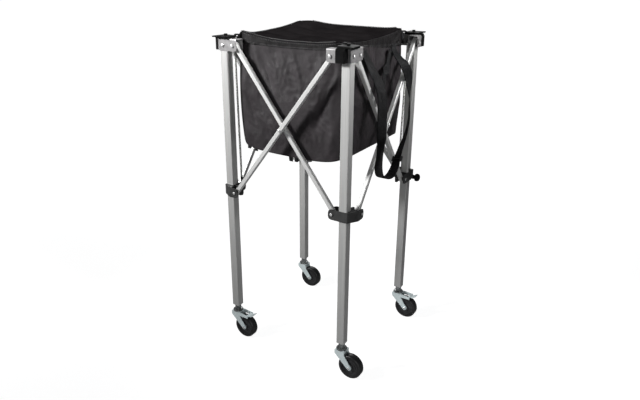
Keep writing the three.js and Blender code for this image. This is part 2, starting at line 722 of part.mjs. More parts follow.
// Bag wall with its hem along the rim and the tab that hangs it on the hook of its right-hand corner
function bagWall() {
  const columns = wallShares.length + 1;
  const hemZ = bagRimZ - hemHeight;
  const levels = [
    { share: 0, proud: 0 }, { share: bulgeShare, proud: bagBulge },
    { share: shoulderShare, proud: bagBulge / 2 },
    { share: 1, proud: 0 }, { share: 1, proud: hemProud, lift: hemProud },
    { share: 1, proud: hemProud, lift: hemHeight },
  ];
  const hemRow = 4;
  const surface = (depth) => (c, r) => {
    const level = levels[r];
    const edge = c === 0 || c === columns;
    const beside = c === 1 || c === columns - 1;
    const proud = (edge || beside) && r < hemRow ? 0 : level.proud;
    const plan = wallStation(c, depth - (depth === 0 || r < hemRow ? proud : 0));
    const cornerShare = Math.min(1, Math.abs(plan.x) / (bagHalf - bagChamfer / 2));
    const bottom = bagMiddleZ + bagCornerLift * cornerShare ** bagCornerPower;
    const z = bottom + (hemZ - bottom) * level.share + (level.lift ?? 0);
    return new THREE.Vector3(plan.x, plan.y, z);
  };
  const wall = solid(sheetBody(columns, levels.length - 1, surface(0), surface(bagCloth)));
  return geometryOf(wall.add(hookLoop()));
}

// Webbing loop that hangs the bag's corner on the hook: laid flat along the diagonal, sewn to one wall
function hookLoop() {
  const wallFace = (2 * bagHalf - bagChamfer) / Math.SQRT2;
  const nearEdge = wallFace + hemProud + touchGap;
  const farEdge = cornerDistance - hookTipReach + hookThickness + touchGap + loopStrip;
  const side = hookWidth / 2 + touchGap + loopSide;
  const low = bagRimZ - loopDrop - bagCloth;
  const high = bagRimZ - loopDrop;
  const band = block(nearEdge, farEdge, -side, side, low, high);
  const root = block(wallFace - bagCloth / 2, nearEdge + loopStrip / 2, -side, -touchGap, low, high);
  const slot = block(cornerDistance - hookTipReach - touchGap, farEdge - loopStrip, -side + loopSide,
    side - loopSide, low - overrun, high + overrun);
  const eighthTurn = 360 / 8;
  return band.add(root).subtract(slot).rotate([0, 0, -eighthTurn]);
}

// Half of a square sheet with cut corners, from x0 to x1, with its height given at each point
const acrossShares = [-1, -0.85, -0.45, 0, 0.45, 0.85, 1];
function halfPanel(x0, x1, reach, height) {
  const cut = reach - bagChamfer;
  const stops = [x0, x0 + (Math.sign(x1) * cut - x0) / 2, Math.sign(x1) * cut, x1];
  const xs = x1 > 0 && x1 <= cut ? [x0, (x0 + x1) / 2, x1] : stops;
  const ordered = xs.slice().sort((a, b) => a - b);
  const surface = (drop) => (c, r) => {
    const x = ordered[c];
    const y = acrossShares[r] * (reach - Math.max(0, Math.abs(x) - cut));
    return new THREE.Vector3(x, y, height(x, y) - drop);
  };
  const sheet = sheetBody(ordered.length - 1, acrossShares.length - 1, surface(0), surface(bagCloth));
  return geometryOf(solid(sheet));
}

// Heights of the bag's floor and of its lid
function bagFloorHeight(x, y) {
  const share = (Math.abs(x) * Math.abs(y)) / bagHalf ** 2;
  return bagMiddleZ + floorLift + bagCloth + bagCornerLift * share ** (bagCornerPower / 2);
}

function lidHeight(x, y) {
  const alongShare = 1 - (x / bagHalf) ** 2;
  const acrossShare = 1 - (y / bagHalf) ** 2;
  const cornerShare = (Math.max(0, -x / bagHalf) * Math.max(0, y / bagHalf)) ** lidHumpPower;
  const sag = lidSag * Math.max(0, alongShare) * Math.max(0, acrossShare);
  return bagRimZ + touchGap + bagCloth - sag + lidHump * cornerShare;
}

// Narrow strip of the lid that is sewn along the right-hand rim and turns with it
function lidSeam() {
  const outer = bagHalf + hemProud;
  const along = bagHalf - bagChamfer;
  return geometryOf(block(outer - seamWidth, outer, -along, along, bagRimZ + touchGap,
    bagRimZ + touchGap + bagCloth));
}

// Zip slider riding on the back rim, with its pull hanging outside
function zipSlider() {
  const face = bagHalf + hemProud + touchGap;
  const body = block(sliderPlace - sliderWidth / 2, sliderPlace + sliderWidth / 2, face, face + sliderDepth,
    bagRimZ - sliderHeight, bagRimZ);
  const pullTopZ = bagRimZ - sliderHeight / 2;
  const pull = block(sliderPlace - pullWidth / 2, sliderPlace + pullWidth / 2, face + sliderDepth / 2,
    face + sliderDepth / 2 + pullThickness, pullTopZ - pullLength, pullTopZ);
  return geometryOf(body.add(pull));
}

// Flat webbing along the hand-chosen route, its width turned about z at each place
function strapLoop() {
  const curve = (pick) => new THREE.CatmullRomCurve3(strapRoute.map(pick), false, 'centripetal');
  const middle = curve(([x, y, z]) => new THREE.Vector3(x, y, z));
  const turns = strapRoute.map((point) => THREE.MathUtils.degToRad(point[3]));
  const rows = strapRoute.length - 1;
  const frame = (r) => {
    const tangent = middle.getTangent(r / rows);
    const wide = new THREE.Vector3(Math.sin(turns[r]), Math.cos(turns[r]), 0);
    wide.addScaledVector(tangent, -wide.dot(tangent)).normalize();
    const centre = new THREE.Vector3(...strapRoute[r]).multiplyScalar(routeStep);
    return { centre, wide, thick: tangent.clone().cross(wide).normalize() };
  };
  const surface = (side) => (c, r) => {
    const { centre, wide, thick } = frame(r);
    const along = (c === 0 ? -1 : 1) * strapWidth / 2;
    return centre.clone().addScaledVector(wide, along).addScaledVector(thick, side * strapThickness / 2);
  };
  return sheetBody(1, rows, surface(-1), surface(1));
}

// A round bar between two points
function rod(from, to, diameter) {
  const span = to.clone().sub(from);
  const geometry = new THREE.CylinderGeometry(diameter / 2, diameter / 2, span.length(), roundSteps);
  const turn = new THREE.Quaternion().setFromUnitVectors(THREE.Object3D.DEFAULT_UP, span.normalize());
  geometry.applyQuaternion(turn);
  const centre = from.clone().add(to).divideScalar(2);
  geometry.translate(centre.x, centre.y, centre.z);
  return solid(geometry);
}

// Elastic cord: an eye over the inner end of the short saddle's pin, and a ferrule above the collar
function pullCord() {
  const pinEnd = saddleHalf - outerPlane + headThickness + touchGap;
  const top = new THREE.Vector3(-pinOffset, pinEnd + touchGap + cordDiameter / 2, topPinZ);
  const linkFace = linkSide / 2 + touchGap;
  const collarTopZ = collarBottomZ + collarHeight;
  const low = new THREE.Vector3(cordLean - pinOffset, linkFace + ferruleDiameter / 2, collarTopZ + touchGap);
  const ferruleTop = low.clone().lerp(top, ferruleLength / low.distanceTo(top));
  const eye = bar('y', cordEyeDiameter, pinEnd, pinEnd + cordEyeThickness, -pinOffset, topPinZ);
  const tip = low.clone().lerp(top, cordDiameter / low.distanceTo(top));
  const cord = rod(tip, top, cordDiameter).add(rod(low.setZ(tip.z), ferruleTop, ferruleDiameter)).add(eye);
  return geometryOf(cord);
}

// Build every corner
corners.forEach((corner) => {
  const place = cornerGroup(corner);
  const locked = corner.leg === lockCorner;
  place.add(part(`leg_${corner.leg}`, legTube(locked), satinAluminium));
  place.add(part(`long_saddle_${corner.leg}`, longSaddle(), zincSheet));
  place.add(part(`short_saddle_${corner.leg}`, shortSaddle(), zincSheet));
  place.add(part(`corner_block_${corner.leg}`, cornerBlock(), blackPlastic));
  place.add(part(`collar_${corner.leg}`, collar(locked), blackPlastic));
  if (locked) place.add(part('lock_pin', lockPin(), blackPlastic));
  if (corner.corded) place.add(part(`pull_cord_${corner.leg}`, pullCord(), speckledCord));
  const caster = headingGroup(corner);
  caster.add(part(`caster_stem_${corner.leg}`, casterStem(), greyPlastic));
  caster.add(part(`caster_fork_${corner.leg}`, casterFork(corner.braked), zincFork));
  caster.add(part(`caster_wheel_${corner.leg}`, casterWheel(), blackRubber));
  if (corner.braked) caster.add(part(`brake_pedal_${corner.leg}`, brakePedal(), zincFork));
});

// The four sides: a pair of crossed links and their rivet, and the bag wall behind them
const sides = ['front', 'right', 'back', 'left'];
sides.forEach((side, turns) => {
  const group = new THREE.Group();
  group.rotation.z = turns * Math.PI / 2;
  cart.add(group);
  const outerLink = part(`link_${side}_outer`, linkTube(), satinAluminium);
  outerLink.position.set(half - pinOffset, -half - outerPlane, topPinZ);
  outerLink.rotation.y = linkLean;
  const innerLink = part(`link_${side}_inner`, linkTube(), satinAluminium);
  innerLink.position.set(pinOffset - half, -half, topPinZ);
  innerLink.rotation.y = -linkLean;
  const crossing = part(`crossing_rivet_${side}`, crossingRivet(), brightRivet);
  crossing.position.set(0, -half, 0);
  group.add(outerLink, innerLink, crossing);
  group.add(part(`bag_wall_${side}`, bagWall(), blackCloth));
});

// The bag's floor and lid, each in two halves that meet on the middle line
const floorReach = bagHalf - bagCloth - touchGap;
const lidReach = bagHalf + hemProud;
const middleGap = touchGap / 2;
const seamEdge = lidReach - seamWidth - touchGap;
cart.add(part('bag_floor_right', halfPanel(middleGap, floorReach, floorReach, bagFloorHeight), blackCloth));
cart.add(part('bag_floor_left', halfPanel(-middleGap, -floorReach, floorReach, bagFloorHeight), blackCloth));
cart.add(part('lid_seam', lidSeam(), blackCloth));
cart.add(part('lid_right', halfPanel(middleGap, seamEdge, lidReach, lidHeight), blackCloth));
cart.add(part('lid_left', halfPanel(-middleGap, -lidReach, lidReach, lidHeight), blackCloth));
cart.add(part('zip_slider', zipSlider(), blackPlastic));
cart.add(part('carry_strap', strapLoop(), blackWebbing));

// Bring the middle of the whole cart's box over the origin, with the wheels on z = 0
cart.updateMatrixWorld(true);
const box = new THREE.Box3().setFromObject(cart, true);
const middle = box.getCenter(new THREE.Vector3());
cart.position.set(-middle.x, -middle.y, -box.min.z);
console.log(`moved by ${-middle.x} ${-middle.y} ${-box.min.z}`);

export default cart;
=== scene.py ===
# %% [markdown]
# # A folding ball cart
# Four square tube legs on casters carry a lidded fabric bag between them, and crossed links on every side
# let the whole cart fold. The rigid parts arrive from the CAD model as a fixed frame. This lesson gives
# them their finishes, and makes the soft parts, the turned parts and the studio around them.

# %% Load the frame
import json
import math
import bpy
import numpy as np
from mathutils import Matrix, Vector, noise

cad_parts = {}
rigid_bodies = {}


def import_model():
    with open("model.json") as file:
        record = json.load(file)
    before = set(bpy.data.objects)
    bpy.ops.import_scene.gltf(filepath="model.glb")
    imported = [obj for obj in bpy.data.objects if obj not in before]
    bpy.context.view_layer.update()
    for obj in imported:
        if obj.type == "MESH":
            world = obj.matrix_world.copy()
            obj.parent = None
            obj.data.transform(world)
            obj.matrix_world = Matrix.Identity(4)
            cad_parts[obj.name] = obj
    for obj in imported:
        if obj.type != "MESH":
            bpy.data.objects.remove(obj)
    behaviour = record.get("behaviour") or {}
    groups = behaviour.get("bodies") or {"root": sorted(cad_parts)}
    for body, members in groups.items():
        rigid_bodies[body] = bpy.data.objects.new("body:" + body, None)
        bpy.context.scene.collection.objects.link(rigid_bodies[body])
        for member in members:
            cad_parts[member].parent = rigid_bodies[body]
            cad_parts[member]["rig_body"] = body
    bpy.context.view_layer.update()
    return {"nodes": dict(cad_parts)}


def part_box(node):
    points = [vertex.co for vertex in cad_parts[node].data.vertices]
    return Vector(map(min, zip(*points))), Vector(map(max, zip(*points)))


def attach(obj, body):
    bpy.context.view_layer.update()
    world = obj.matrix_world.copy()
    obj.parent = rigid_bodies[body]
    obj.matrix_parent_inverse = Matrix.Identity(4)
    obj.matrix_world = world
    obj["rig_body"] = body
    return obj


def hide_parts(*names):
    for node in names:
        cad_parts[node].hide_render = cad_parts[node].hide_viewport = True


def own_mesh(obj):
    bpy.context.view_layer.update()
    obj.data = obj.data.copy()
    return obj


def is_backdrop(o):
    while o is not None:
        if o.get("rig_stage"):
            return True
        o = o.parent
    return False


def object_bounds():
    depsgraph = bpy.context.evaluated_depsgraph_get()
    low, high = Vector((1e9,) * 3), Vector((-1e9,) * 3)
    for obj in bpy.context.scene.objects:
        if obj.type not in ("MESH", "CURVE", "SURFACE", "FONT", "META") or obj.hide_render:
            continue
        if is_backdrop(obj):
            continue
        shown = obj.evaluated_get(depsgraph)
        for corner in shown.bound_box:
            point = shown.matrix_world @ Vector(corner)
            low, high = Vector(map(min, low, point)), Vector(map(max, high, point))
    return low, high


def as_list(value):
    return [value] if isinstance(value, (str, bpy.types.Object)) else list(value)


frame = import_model()

# %% [markdown]
# ## Places
# Every place is worked out from the frame. The cart is square, so its middle is the mean of the four
# legs, and `place` turns a distance from that middle, in metres, into a point of the frame. A leg is
# named by where it stands in the picture: front is nearest, then right, back and left, counted
# anticlockwise from above. Every corner is the front one turned about the middle, so `corner_place` takes
# distances from the leg in the front corner's own directions.

# %% Middle of the cart and the four corners
corners = ["front", "right", "back", "left"]
corner_signs = {"front": (1, -1), "right": (1, 1), "back": (-1, 1), "left": (-1, -1)}
corner_body = {"front": "root", "right": "leg_right", "back": "leg_back", "left": "leg_left"}
leg_boxes = {corner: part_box(f"leg_{corner}") for corner in corners}
leg_middles = {corner: (low + high) / 2 for corner, (low, high) in leg_boxes.items()}
middle = sum(leg_middles.values(), Vector()) / len(corners)
half_spacing = (leg_middles["front"].x - leg_middles["left"].x) / 2


def place(x, y, z):
    """A point of the frame from metres right of, behind and above the middle of the cart's footprint."""
    return Vector((middle.x + x, middle.y + y, z))


def corner_place(corner, x, y, z):
    """A point given from one leg's middle, in the directions that the front corner has."""
    quarter = corners.index(corner) * math.pi / 2
    cos, sin = round(math.cos(quarter)), round(math.sin(quarter))
    x, y = half_spacing + x, -half_spacing + y
    return place(cos * x - sin * y, sin * x + cos * y, z)


def corner_direction(corner, x, y):
    return corner_place(corner, x, y, 0) - corner_place(corner, 0, 0, 0)


def square_axes(axis):
    """An axis at length one, and two directions square to it and to each other."""
    axis = Vector(axis).normalized()
    first = axis.orthogonal().normalized()
    return axis, first, axis.cross(first)


def on_circle(first, second, angle):
    return first * math.cos(angle) + second * math.sin(angle)


print("half spacing of the legs:", round(half_spacing, 4))

# %% [markdown]
# ## Camera
# A photograph fixes its camera. The legs' tops, the saddles, the collars and the wheels were matched to a
# square cart, which gave the lens, the place and the aim below. The camera is made first, so that
# everything after it can be judged through it.

# %% Camera
image_width = 640
focal_pixels = 597.8
picture_middle = (314.4, 185.7)
image_middle = (320, 200)
camera_yaw = math.radians(32.42)
camera_pitch = math.radians(20.39)
camera_roll = math.radians(0.24)
camera_spot = (0.9329, -1.5110, 1.1618)

camera_data = bpy.data.cameras.new("camera")
camera_data.lens = focal_pixels * camera_data.sensor_width / image_width
camera_data.sensor_fit = "HORIZONTAL"
camera_data.shift_x = (image_middle[0] - picture_middle[0]) / image_width
camera_data.shift_y = (picture_middle[1] - image_middle[1]) / image_width
camera = bpy.data.objects.new("camera", camera_data)
bpy.context.scene.collection.objects.link(camera)
bpy.context.scene.camera = camera

level = Vector((math.cos(camera_yaw), math.sin(camera_yaw), 0))
forwards = Vector((-math.sin(camera_yaw), math.cos(camera_yaw), 0))
looking = forwards * math.cos(camera_pitch) - Vector((0, 0, math.sin(camera_pitch)))
upright = level.cross(looking)
sideways = math.cos(camera_roll) * level + math.sin(camera_roll) * upright
upwards = math.cos(camera_roll) * upright - math.sin(camera_roll) * level
axes = Matrix((sideways, upwards, -looking)).transposed()
camera.matrix_world = Matrix.Translation(place(*camera_spot)) @ axes.to_4x4()
print("camera lens:", round(camera_data.lens, 2), "mm")

# %% [markdown]
# ## Material helpers
# Every finish starts from the Principled shader with its plain colour, roughness and metal share. What
# makes it look real is small change over the surface, so the helpers below add a noise in the object's
# own coordinates and lead it to the colour, the roughness or the bump. Object coordinates need no
# unwrapping and stay put when the piece moves.


# %% Material helpers
def new_finish(name, color, roughness, metallic=0.0, sheen=0.0, specular=0.5):
    """A material with plain values on the shader's own sockets."""
    finish = bpy.data.materials.new(name)
    finish.use_nodes = True
    shader = finish.node_tree.nodes["Principled BSDF"]
    shader.inputs["Base Color"].default_value = (*color, 1)
    shader.inputs["Roughness"].default_value = roughness
    shader.inputs["Metallic"].default_value = metallic
    shader.inputs["Sheen Weight"].default_value = sheen
    shader.inputs["Specular IOR Level"].default_value = specular
    return finish


def node(finish, kind, **settings):
    """Adds a node and sets its properties."""
    made = finish.node_tree.nodes.new(kind)
    for key, value in settings.items():
        setattr(made, key, value)
    return made


def shader_of(finish):
    return finish.node_tree.nodes["Principled BSDF"]


def join(finish, source, target):
    finish.node_tree.links.new(source, target)


def stretched_place(finish, along=(0, 0, 1), across_scale=1.0, along_scale=1.0):
    """Object coordinates measured across and along one direction, each with its own scale."""
    coordinates = node(finish, "ShaderNodeTexCoord")
    grain, first, second = square_axes(along)
    combined = node(finish, "ShaderNodeCombineXYZ")
    scaled = [(first, across_scale), (second, across_scale), (grain, along_scale)]
    for index, (direction, scale) in enumerate(scaled):
        dot = node(finish, "ShaderNodeVectorMath", operation="DOT_PRODUCT")
        dot.inputs[1].default_value = direction * scale
        join(finish, coordinates.outputs["Object"], dot.inputs[0])
        join(finish, dot.outputs["Value"], combined.inputs[index])
    return combined.outputs["Vector"]


def speckle(finish, scale, detail=2.0, vector=None):
    """A noise of the given scale, in object coordinates unless another vector is given."""
    texture = node(finish, "ShaderNodeTexNoise")
    texture.inputs["Scale"].default_value = scale
    texture.inputs["Detail"].default_value = detail
    if vector is None:
        vector = node(finish, "ShaderNodeTexCoord").outputs["Object"]
    join(finish, vector, texture.inputs["Vector"])
    return texture.outputs["Fac"]


def spread(finish, value, low, high, socket, start=0.3, end=0.7):
    """Leads a noise to a number socket of the shader, between two values."""
    ranged = node(finish, "ShaderNodeMapRange")
    ranged.inputs["From Min"].default_value = start
    ranged.inputs["From Max"].default_value = end
    ranged.inputs["To Min"].default_value = low
    ranged.inputs["To Max"].default_value = high
    join(finish, value, ranged.inputs["Value"])
    join(finish, ranged.outputs["Result"], shader_of(finish).inputs[socket])


def tint(finish, value, dark, light, start=0.3, end=0.7):
    """Leads a noise to the base colour, between two colours."""
    ramp = node(finish, "ShaderNodeValToRGB")
    ramp.color_ramp.elements[0].position = start
    ramp.color_ramp.elements[0].color = (*dark, 1)
    ramp.color_ramp.elements[1].position = end
    ramp.color_ramp.elements[1].color = (*light, 1)
    join(finish, value, ramp.inputs["Fac"])
    join(finish, ramp.outputs["Color"], shader_of(finish).inputs["Base Color"])


def emboss(finish, value, depth, strength=1.0):
    """Leads a height to a bump, in front of any bump that the material has already."""
    bump = node(finish, "ShaderNodeBump")
    bump.inputs["Distance"].default_value = depth
    bump.inputs["Strength"].default_value = strength
    normal = shader_of(finish).inputs["Normal"]
    if normal.is_linked:
        join(finish, normal.links[0].from_socket, bump.inputs["Normal"])
    join(finish, value, bump.inputs["Height"])
    join(finish, bump.outputs["Normal"], normal)


# %% [markdown]
# ## Metal finishes
# The tube is drawn aluminium with a satin anodised skin: it has faint lines along its length and is
# softly rough across them. A noise that is squeezed across the tube and stretched along it gives these
# lines, so each link needs the direction of its own tube. The sheet metal is zinc plated, which is
# brighter and slightly clouded, and bluish on the casters.

# %% Metal finishes
def drawn_tube(name, along, dark, light):
    finish = new_finish(name, light, 0.42, metallic=0.25)
    lines = stretched_place(finish, along, across_scale=900, along_scale=6)
    streaks = speckle(finish, 1.0, 3.0, lines)
    tint(finish, streaks, dark, light)
    spread(finish, streaks, 0.36, 0.52, "Roughness")
    emboss(finish, streaks, 0.00005, 0.4)
    return finish


def zinc(name, dark, light, roughness, metallic=0.5):
    finish = new_finish(name, light, roughness, metallic=metallic)
    cloud = speckle(finish, 60.0, 4.0)
    tint(finish, cloud, dark, light)
    spread(finish, speckle(finish, 220.0, 2.0), roughness - 0.08, roughness + 0.12, "Roughness")
    emboss(finish, cloud, 0.0001, 0.3)
    return finish


leg_tube = drawn_tube("leg_tube", (0, 0, 1), (0.40, 0.40, 0.395), (0.50, 0.50, 0.49))
saddle_zinc = zinc("saddle_zinc", (0.19, 0.185, 0.187), (0.26, 0.255, 0.257), 0.42, 0.35)
fork_zinc = zinc("fork_zinc", (0.70, 0.79, 0.80), (0.78, 0.87, 0.88), 0.36, 0.2)
race_zinc = zinc("race_zinc", (0.16, 0.17, 0.17), (0.5, 0.52, 0.52), 0.22, 0.8)
rivet_steel = zinc("rivet_steel", (0.72, 0.72, 0.72), (0.9, 0.9, 0.9), 0.2, 0.6)
print("metal finishes made")

# %% [markdown]
# ## Moulded finishes
# The corner blocks, collars and knob are taken to be glass-filled nylon: black, with a fine grain and a
# gloss that changes a little over the surface. The tyres are black rubber with a low gloss, and the wheel
# discs a greyer plastic.

# %% Moulded finishes
def moulded(name, dark, light, roughness, grain_scale, grain_depth, specular=0.5):
    finish = new_finish(name, light, roughness, specular=specular)
    tint(finish, speckle(finish, 35.0, 4.0), dark, light)
    spread(finish, speckle(finish, 18.0, 3.0), roughness - 0.1, roughness + 0.12, "Roughness")
    emboss(finish, speckle(finish, grain_scale, 2.0), grain_depth, 0.6)
    return finish


block_nylon = moulded("block_nylon", (0.003, 0.003, 0.003), (0.007, 0.007, 0.007), 0.5, 1500, 0.0001, 0.04)
collar_nylon = moulded("collar_nylon", (0.024, 0.024, 0.024), (0.045, 0.045, 0.045), 0.46, 1500, 0.0001, 0.45)
zip_resin = moulded("zip_resin", (0.012, 0.012, 0.012), (0.03, 0.03, 0.03), 0.35, 1500, 0.0001)
tyre_rubber = moulded("tyre_rubber", (0.006, 0.006, 0.0065), (0.018, 0.018, 0.019), 0.38, 900, 0.00015)
disc_plastic = moulded("disc_plastic", (0.018, 0.018, 0.019), (0.032, 0.032, 0.034), 0.4, 1200, 0.0001)
print("moulded finishes made")

# %% [markdown]
# ## Cloth finishes
# The bag is taken to be coated nylon: a plain weave of fine threads with a soft sheen. A weave is two
# sets of ridges that cross, so two sines of the place, one along the cloth and one up it, are multiplied
# into a height. On the walls the place along the cloth is x plus y, since each wall runs along one of the
# two. Webbing is the same at a coarser scale. The lid is a matt cloth that swallows most of the light.


# %% Cloth finishes
def woven(name, dark, light, along, up, thread, depth, sheen, specular=0.3):
    """Cloth with threads of one pitch in two directions, given as vectors."""
    finish = new_finish(name, light, 0.62, sheen=sheen, specular=specular)
    shader_of(finish).inputs["Sheen Roughness"].default_value = 0.4
    coordinates = node(finish, "ShaderNodeTexCoord")
    waves = []
    for direction in (along, up):
        dot = node(finish, "ShaderNodeVectorMath", operation="DOT_PRODUCT")
        dot.inputs[1].default_value = Vector(direction) * (2 * math.pi / thread)
        join(finish, coordinates.outputs["Object"], dot.inputs[0])
        wave = node(finish, "ShaderNodeMath", operation="SINE")
        join(finish, dot.outputs["Value"], wave.inputs[0])
        waves.append(wave)
    crossing = node(finish, "ShaderNodeMath", operation="MULTIPLY")
    join(finish, waves[0].outputs[0], crossing.inputs[0])
    join(finish, waves[1].outputs[0], crossing.inputs[1])
    tint(finish, speckle(finish, 22.0, 5.0), dark, light)
    spread(finish, speckle(finish, 30.0, 3.0), 0.52, 0.75, "Roughness")
    emboss(finish, crossing.outputs[0], depth, 0.5)
    emboss(finish, speckle(finish, 90.0, 4.0), depth * 12, 0.6)
    return finish


across_cart, back_cart, any_wall, upward = (1, 0, 0), (0, 1, 0), (1, 1, 0), (0, 0, 1)
wall_nylon = woven("wall_nylon", (0.0115, 0.0092, 0.0105), (0.0205, 0.0164, 0.0188), any_wall, upward,
                   thread=0.0012, depth=0.0001, sheen=0.06)
lid_nylon = woven("lid_nylon", (0.006, 0.0053, 0.0056), (0.0105, 0.0094, 0.0098), across_cart, back_cart,
                  thread=0.0012, depth=0.0001, sheen=0.0, specular=0.0)
hem_tape = woven("hem_tape", (0.0045, 0.0039, 0.0042), (0.008, 0.007, 0.0074), any_wall, upward,
                 thread=0.0022, depth=0.0003, sheen=0.02, specular=0.15)
strap_webbing = woven("strap_webbing", (0.005, 0.005, 0.0055), (0.012, 0.012, 0.013), back_cart, upward,
                      thread=0.0024, depth=0.0004, sheen=0.02, specular=0.2)
print("cloth finishes made")

# %% [markdown]
# ## Finishes on the frame
# A CAD piece keeps its shape and gets its finish by name. The links lean, so the direction of each one's
# tube is read from its box: a link is as long as its box is high and wide, and the outer and inner link
# of a side lean opposite ways.

# %% Finishes on the frame
def paint(name, finish):
    frame["nodes"][name].data.materials.clear()
    frame["nodes"][name].data.materials.append(finish)


side_directions = {"front": Vector((1, 0, 0)), "right": Vector((0, 1, 0)), "back": Vector((-1, 0, 0)),
                   "left": Vector((0, -1, 0))}
corner_finishes = {"leg": leg_tube, "long_saddle": saddle_zinc, "short_saddle": saddle_zinc,
                   "corner_block": block_nylon, "collar": collar_nylon, "caster_stem": race_zinc,
                   "caster_fork": fork_zinc, "caster_wheel": tyre_rubber, "crossing_rivet": rivet_steel}
for corner in corners:
    for part_name, finish in corner_finishes.items():
        paint(f"{part_name}_{corner}", finish)
for side, direction in side_directions.items():
    for which, lean in (("outer", 1), ("inner", -1)):
        low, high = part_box(f"link_{side}_{which}")
        size = high - low
        along = direction * max(size.x, size.y) * lean + Vector((0, 0, size.z))
        link_tube = drawn_tube(f"link_tube_{side}_{which}", along, (0.52, 0.52, 0.515), (0.64, 0.64, 0.63))
        paint(f"link_{side}_{which}", link_tube)
for part_name in ("lock_pin", "zip_slider"):
    paint(part_name, block_nylon)
for corner in ("right", "left"):
    paint(f"brake_pedal_{corner}", fork_zinc)
print("finishes on", len(frame["nodes"]), "nodes")

# %% [markdown]
# ## Mesh helpers
# A new piece is built from a list of points and faces, shaded smooth, and then rides on the body that
# carries it. Turned parts, such as a tyre, share one helper that sweeps a profile about an axis, and
# sheets of cloth share one that gives a grid of points a second layer and closed edges.


# %% Mesh helpers
def new_piece(name, points, faces, finish, body, slot_name=None):
    mesh = bpy.data.meshes.new(name)
    mesh.from_pydata([tuple(point) for point in points], [], faces)
    mesh.validate()
    mesh.update()
    mesh.materials.append(finish)
    piece = bpy.data.objects.new(name, mesh)
    bpy.context.scene.collection.objects.link(piece)
    mesh.shade_smooth()
    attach(piece, body)
    return piece


def creased(piece, degrees=35):
    """Smooth shading that keeps edges sharper than an angle."""
    piece.data.set_sharp_from_angle(angle=math.radians(degrees))
    return piece


def merged(parts):
    """One list of points and faces from several."""
    points, faces = [], []
    for more_points, more_faces in parts:
        offset = len(points)
        points.extend(more_points)
        faces.extend(tuple(index + offset for index in face) for face in more_faces)
    return points, faces


def turned(profile, centre, axis, segments):
    """Points and faces of a closed profile, (radius, height) pairs, swept about an axis through a centre."""
    axis, first, second = square_axes(axis)
    points, faces = [], []
    for segment in range(segments):
        outward = on_circle(first, second, 2 * math.pi * segment / segments)
        points.extend(Vector(centre) + outward * radius + axis * height for radius, height in profile)
    count = len(profile)
    for segment in range(segments):
        start, following = segment * count, (segment + 1) % segments * count
        for row in range(count):
            above = (row + 1) % count
            faces.append((start + row, following + row, following + above, start + above))
    return points, faces


def sheet_mesh(columns, rows, outer, thickness):
    """A closed sheet: the outer points, a second layer behind them along the normals, and edges between."""
    grid = np.array([[outer(c / columns, r / rows) for r in range(rows + 1)] for c in range(columns + 1)])
    across = np.gradient(grid, axis=0)
    up = np.gradient(grid, axis=1)
    normal = np.cross(across, up)
    normal /= np.linalg.norm(normal, axis=2, keepdims=True)
    layers = [grid, grid - normal * thickness]
    points = [Vector(p) for layer in layers for column in layer for p in column]
    stride = rows + 1
    offset = (columns + 1) * stride
    faces = []
    for c in range(columns):
        for r in range(rows):
            a, b = c * stride + r, (c + 1) * stride + r
            faces.append((a, b, b + 1, a + 1))
            faces.append((offset + a, offset + a + 1, offset + b + 1, offset + b))
        for r, turned_over in ((0, False), (rows, True)):
            a, b = c * stride + r, (c + 1) * stride + r
            edge = (a, offset + a, offset + b, b)
            faces.append(edge[::-1] if turned_over else edge)
    for r in range(rows):
        for c, turned_over in ((0, True), (columns, False)):
            a = c * stride + r
            edge = (a, offset + a, offset + a + 1, a + 1)
            faces.append(edge[::-1] if turned_over else edge)
    return points, faces


def tube_mesh(path, radius_at, sides):
    """A tube along a path, with flat ends. The radius is given at each ring and angle."""
    path = [Vector(p) for p in path]
    count = len(path)
    first = None
    points, faces = [], []
    for ring, centre in enumerate(path):
        before = path[max(0, ring - 1)]
        after = path[min(count - 1, ring + 1)]
        tangent = (after - before).normalized()
        first = tangent.orthogonal() if first is None else first - tangent * first.dot(tangent)
        first = first.normalized()
        second = tangent.cross(first)
        for side in range(sides):
            angle = 2 * math.pi * side / sides
            points.append(centre + on_circle(first, second, angle) * radius_at(ring, angle))
    for ring in range(count - 1):
        start, following = ring * sides, (ring + 1) * sides
        for side in range(sides):
            beside = (side + 1) % sides
            faces.append((start + side, start + beside, following + beside, following + side))
    faces.append(tuple(range(sides))[::-1])
    faces.append(tuple(range((count - 1) * sides, count * sides)))
    return points, faces


def block(centre, along, out, up, size):
    """A small block: its middle, three directions and its size in each."""
    shifts = [(a, o, u) for u in (-1, 1) for a, o in ((-1, -1), (1, -1), (1, 1), (-1, 1))]
    half_along, half_out, half_up = along * size[0] / 2, out * size[1] / 2, up * size[2] / 2
    points = [centre + half_along * a + half_out * o + half_up * u for a, o, u in shifts]
    return points, [(3, 2, 1, 0), (4, 5, 6, 7), (0, 1, 5, 4), (1, 2, 6, 5), (2, 3, 7, 6), (3, 0, 4, 7)]


# %% [markdown]
# ## Rivet heads
# Every pin of the linkage ends in a domed head, pressed from bright steel. The CAD head is a flat disc,
# so a low dome is set on each one: rings of points that shrink towards a pole. The faces they sit on are
# read from the frame, and the heights and the offset of the pins are the CAD model's own sizes. The front
# corner's distances are used again at the other corners.

# %% Rivet heads
dome_radius = 0.0047
dome_height = 0.0016
dome_rings = 4
dome_sides = 18
top_pin = 0.947
low_pin = 0.517
pin_offset = 0.034


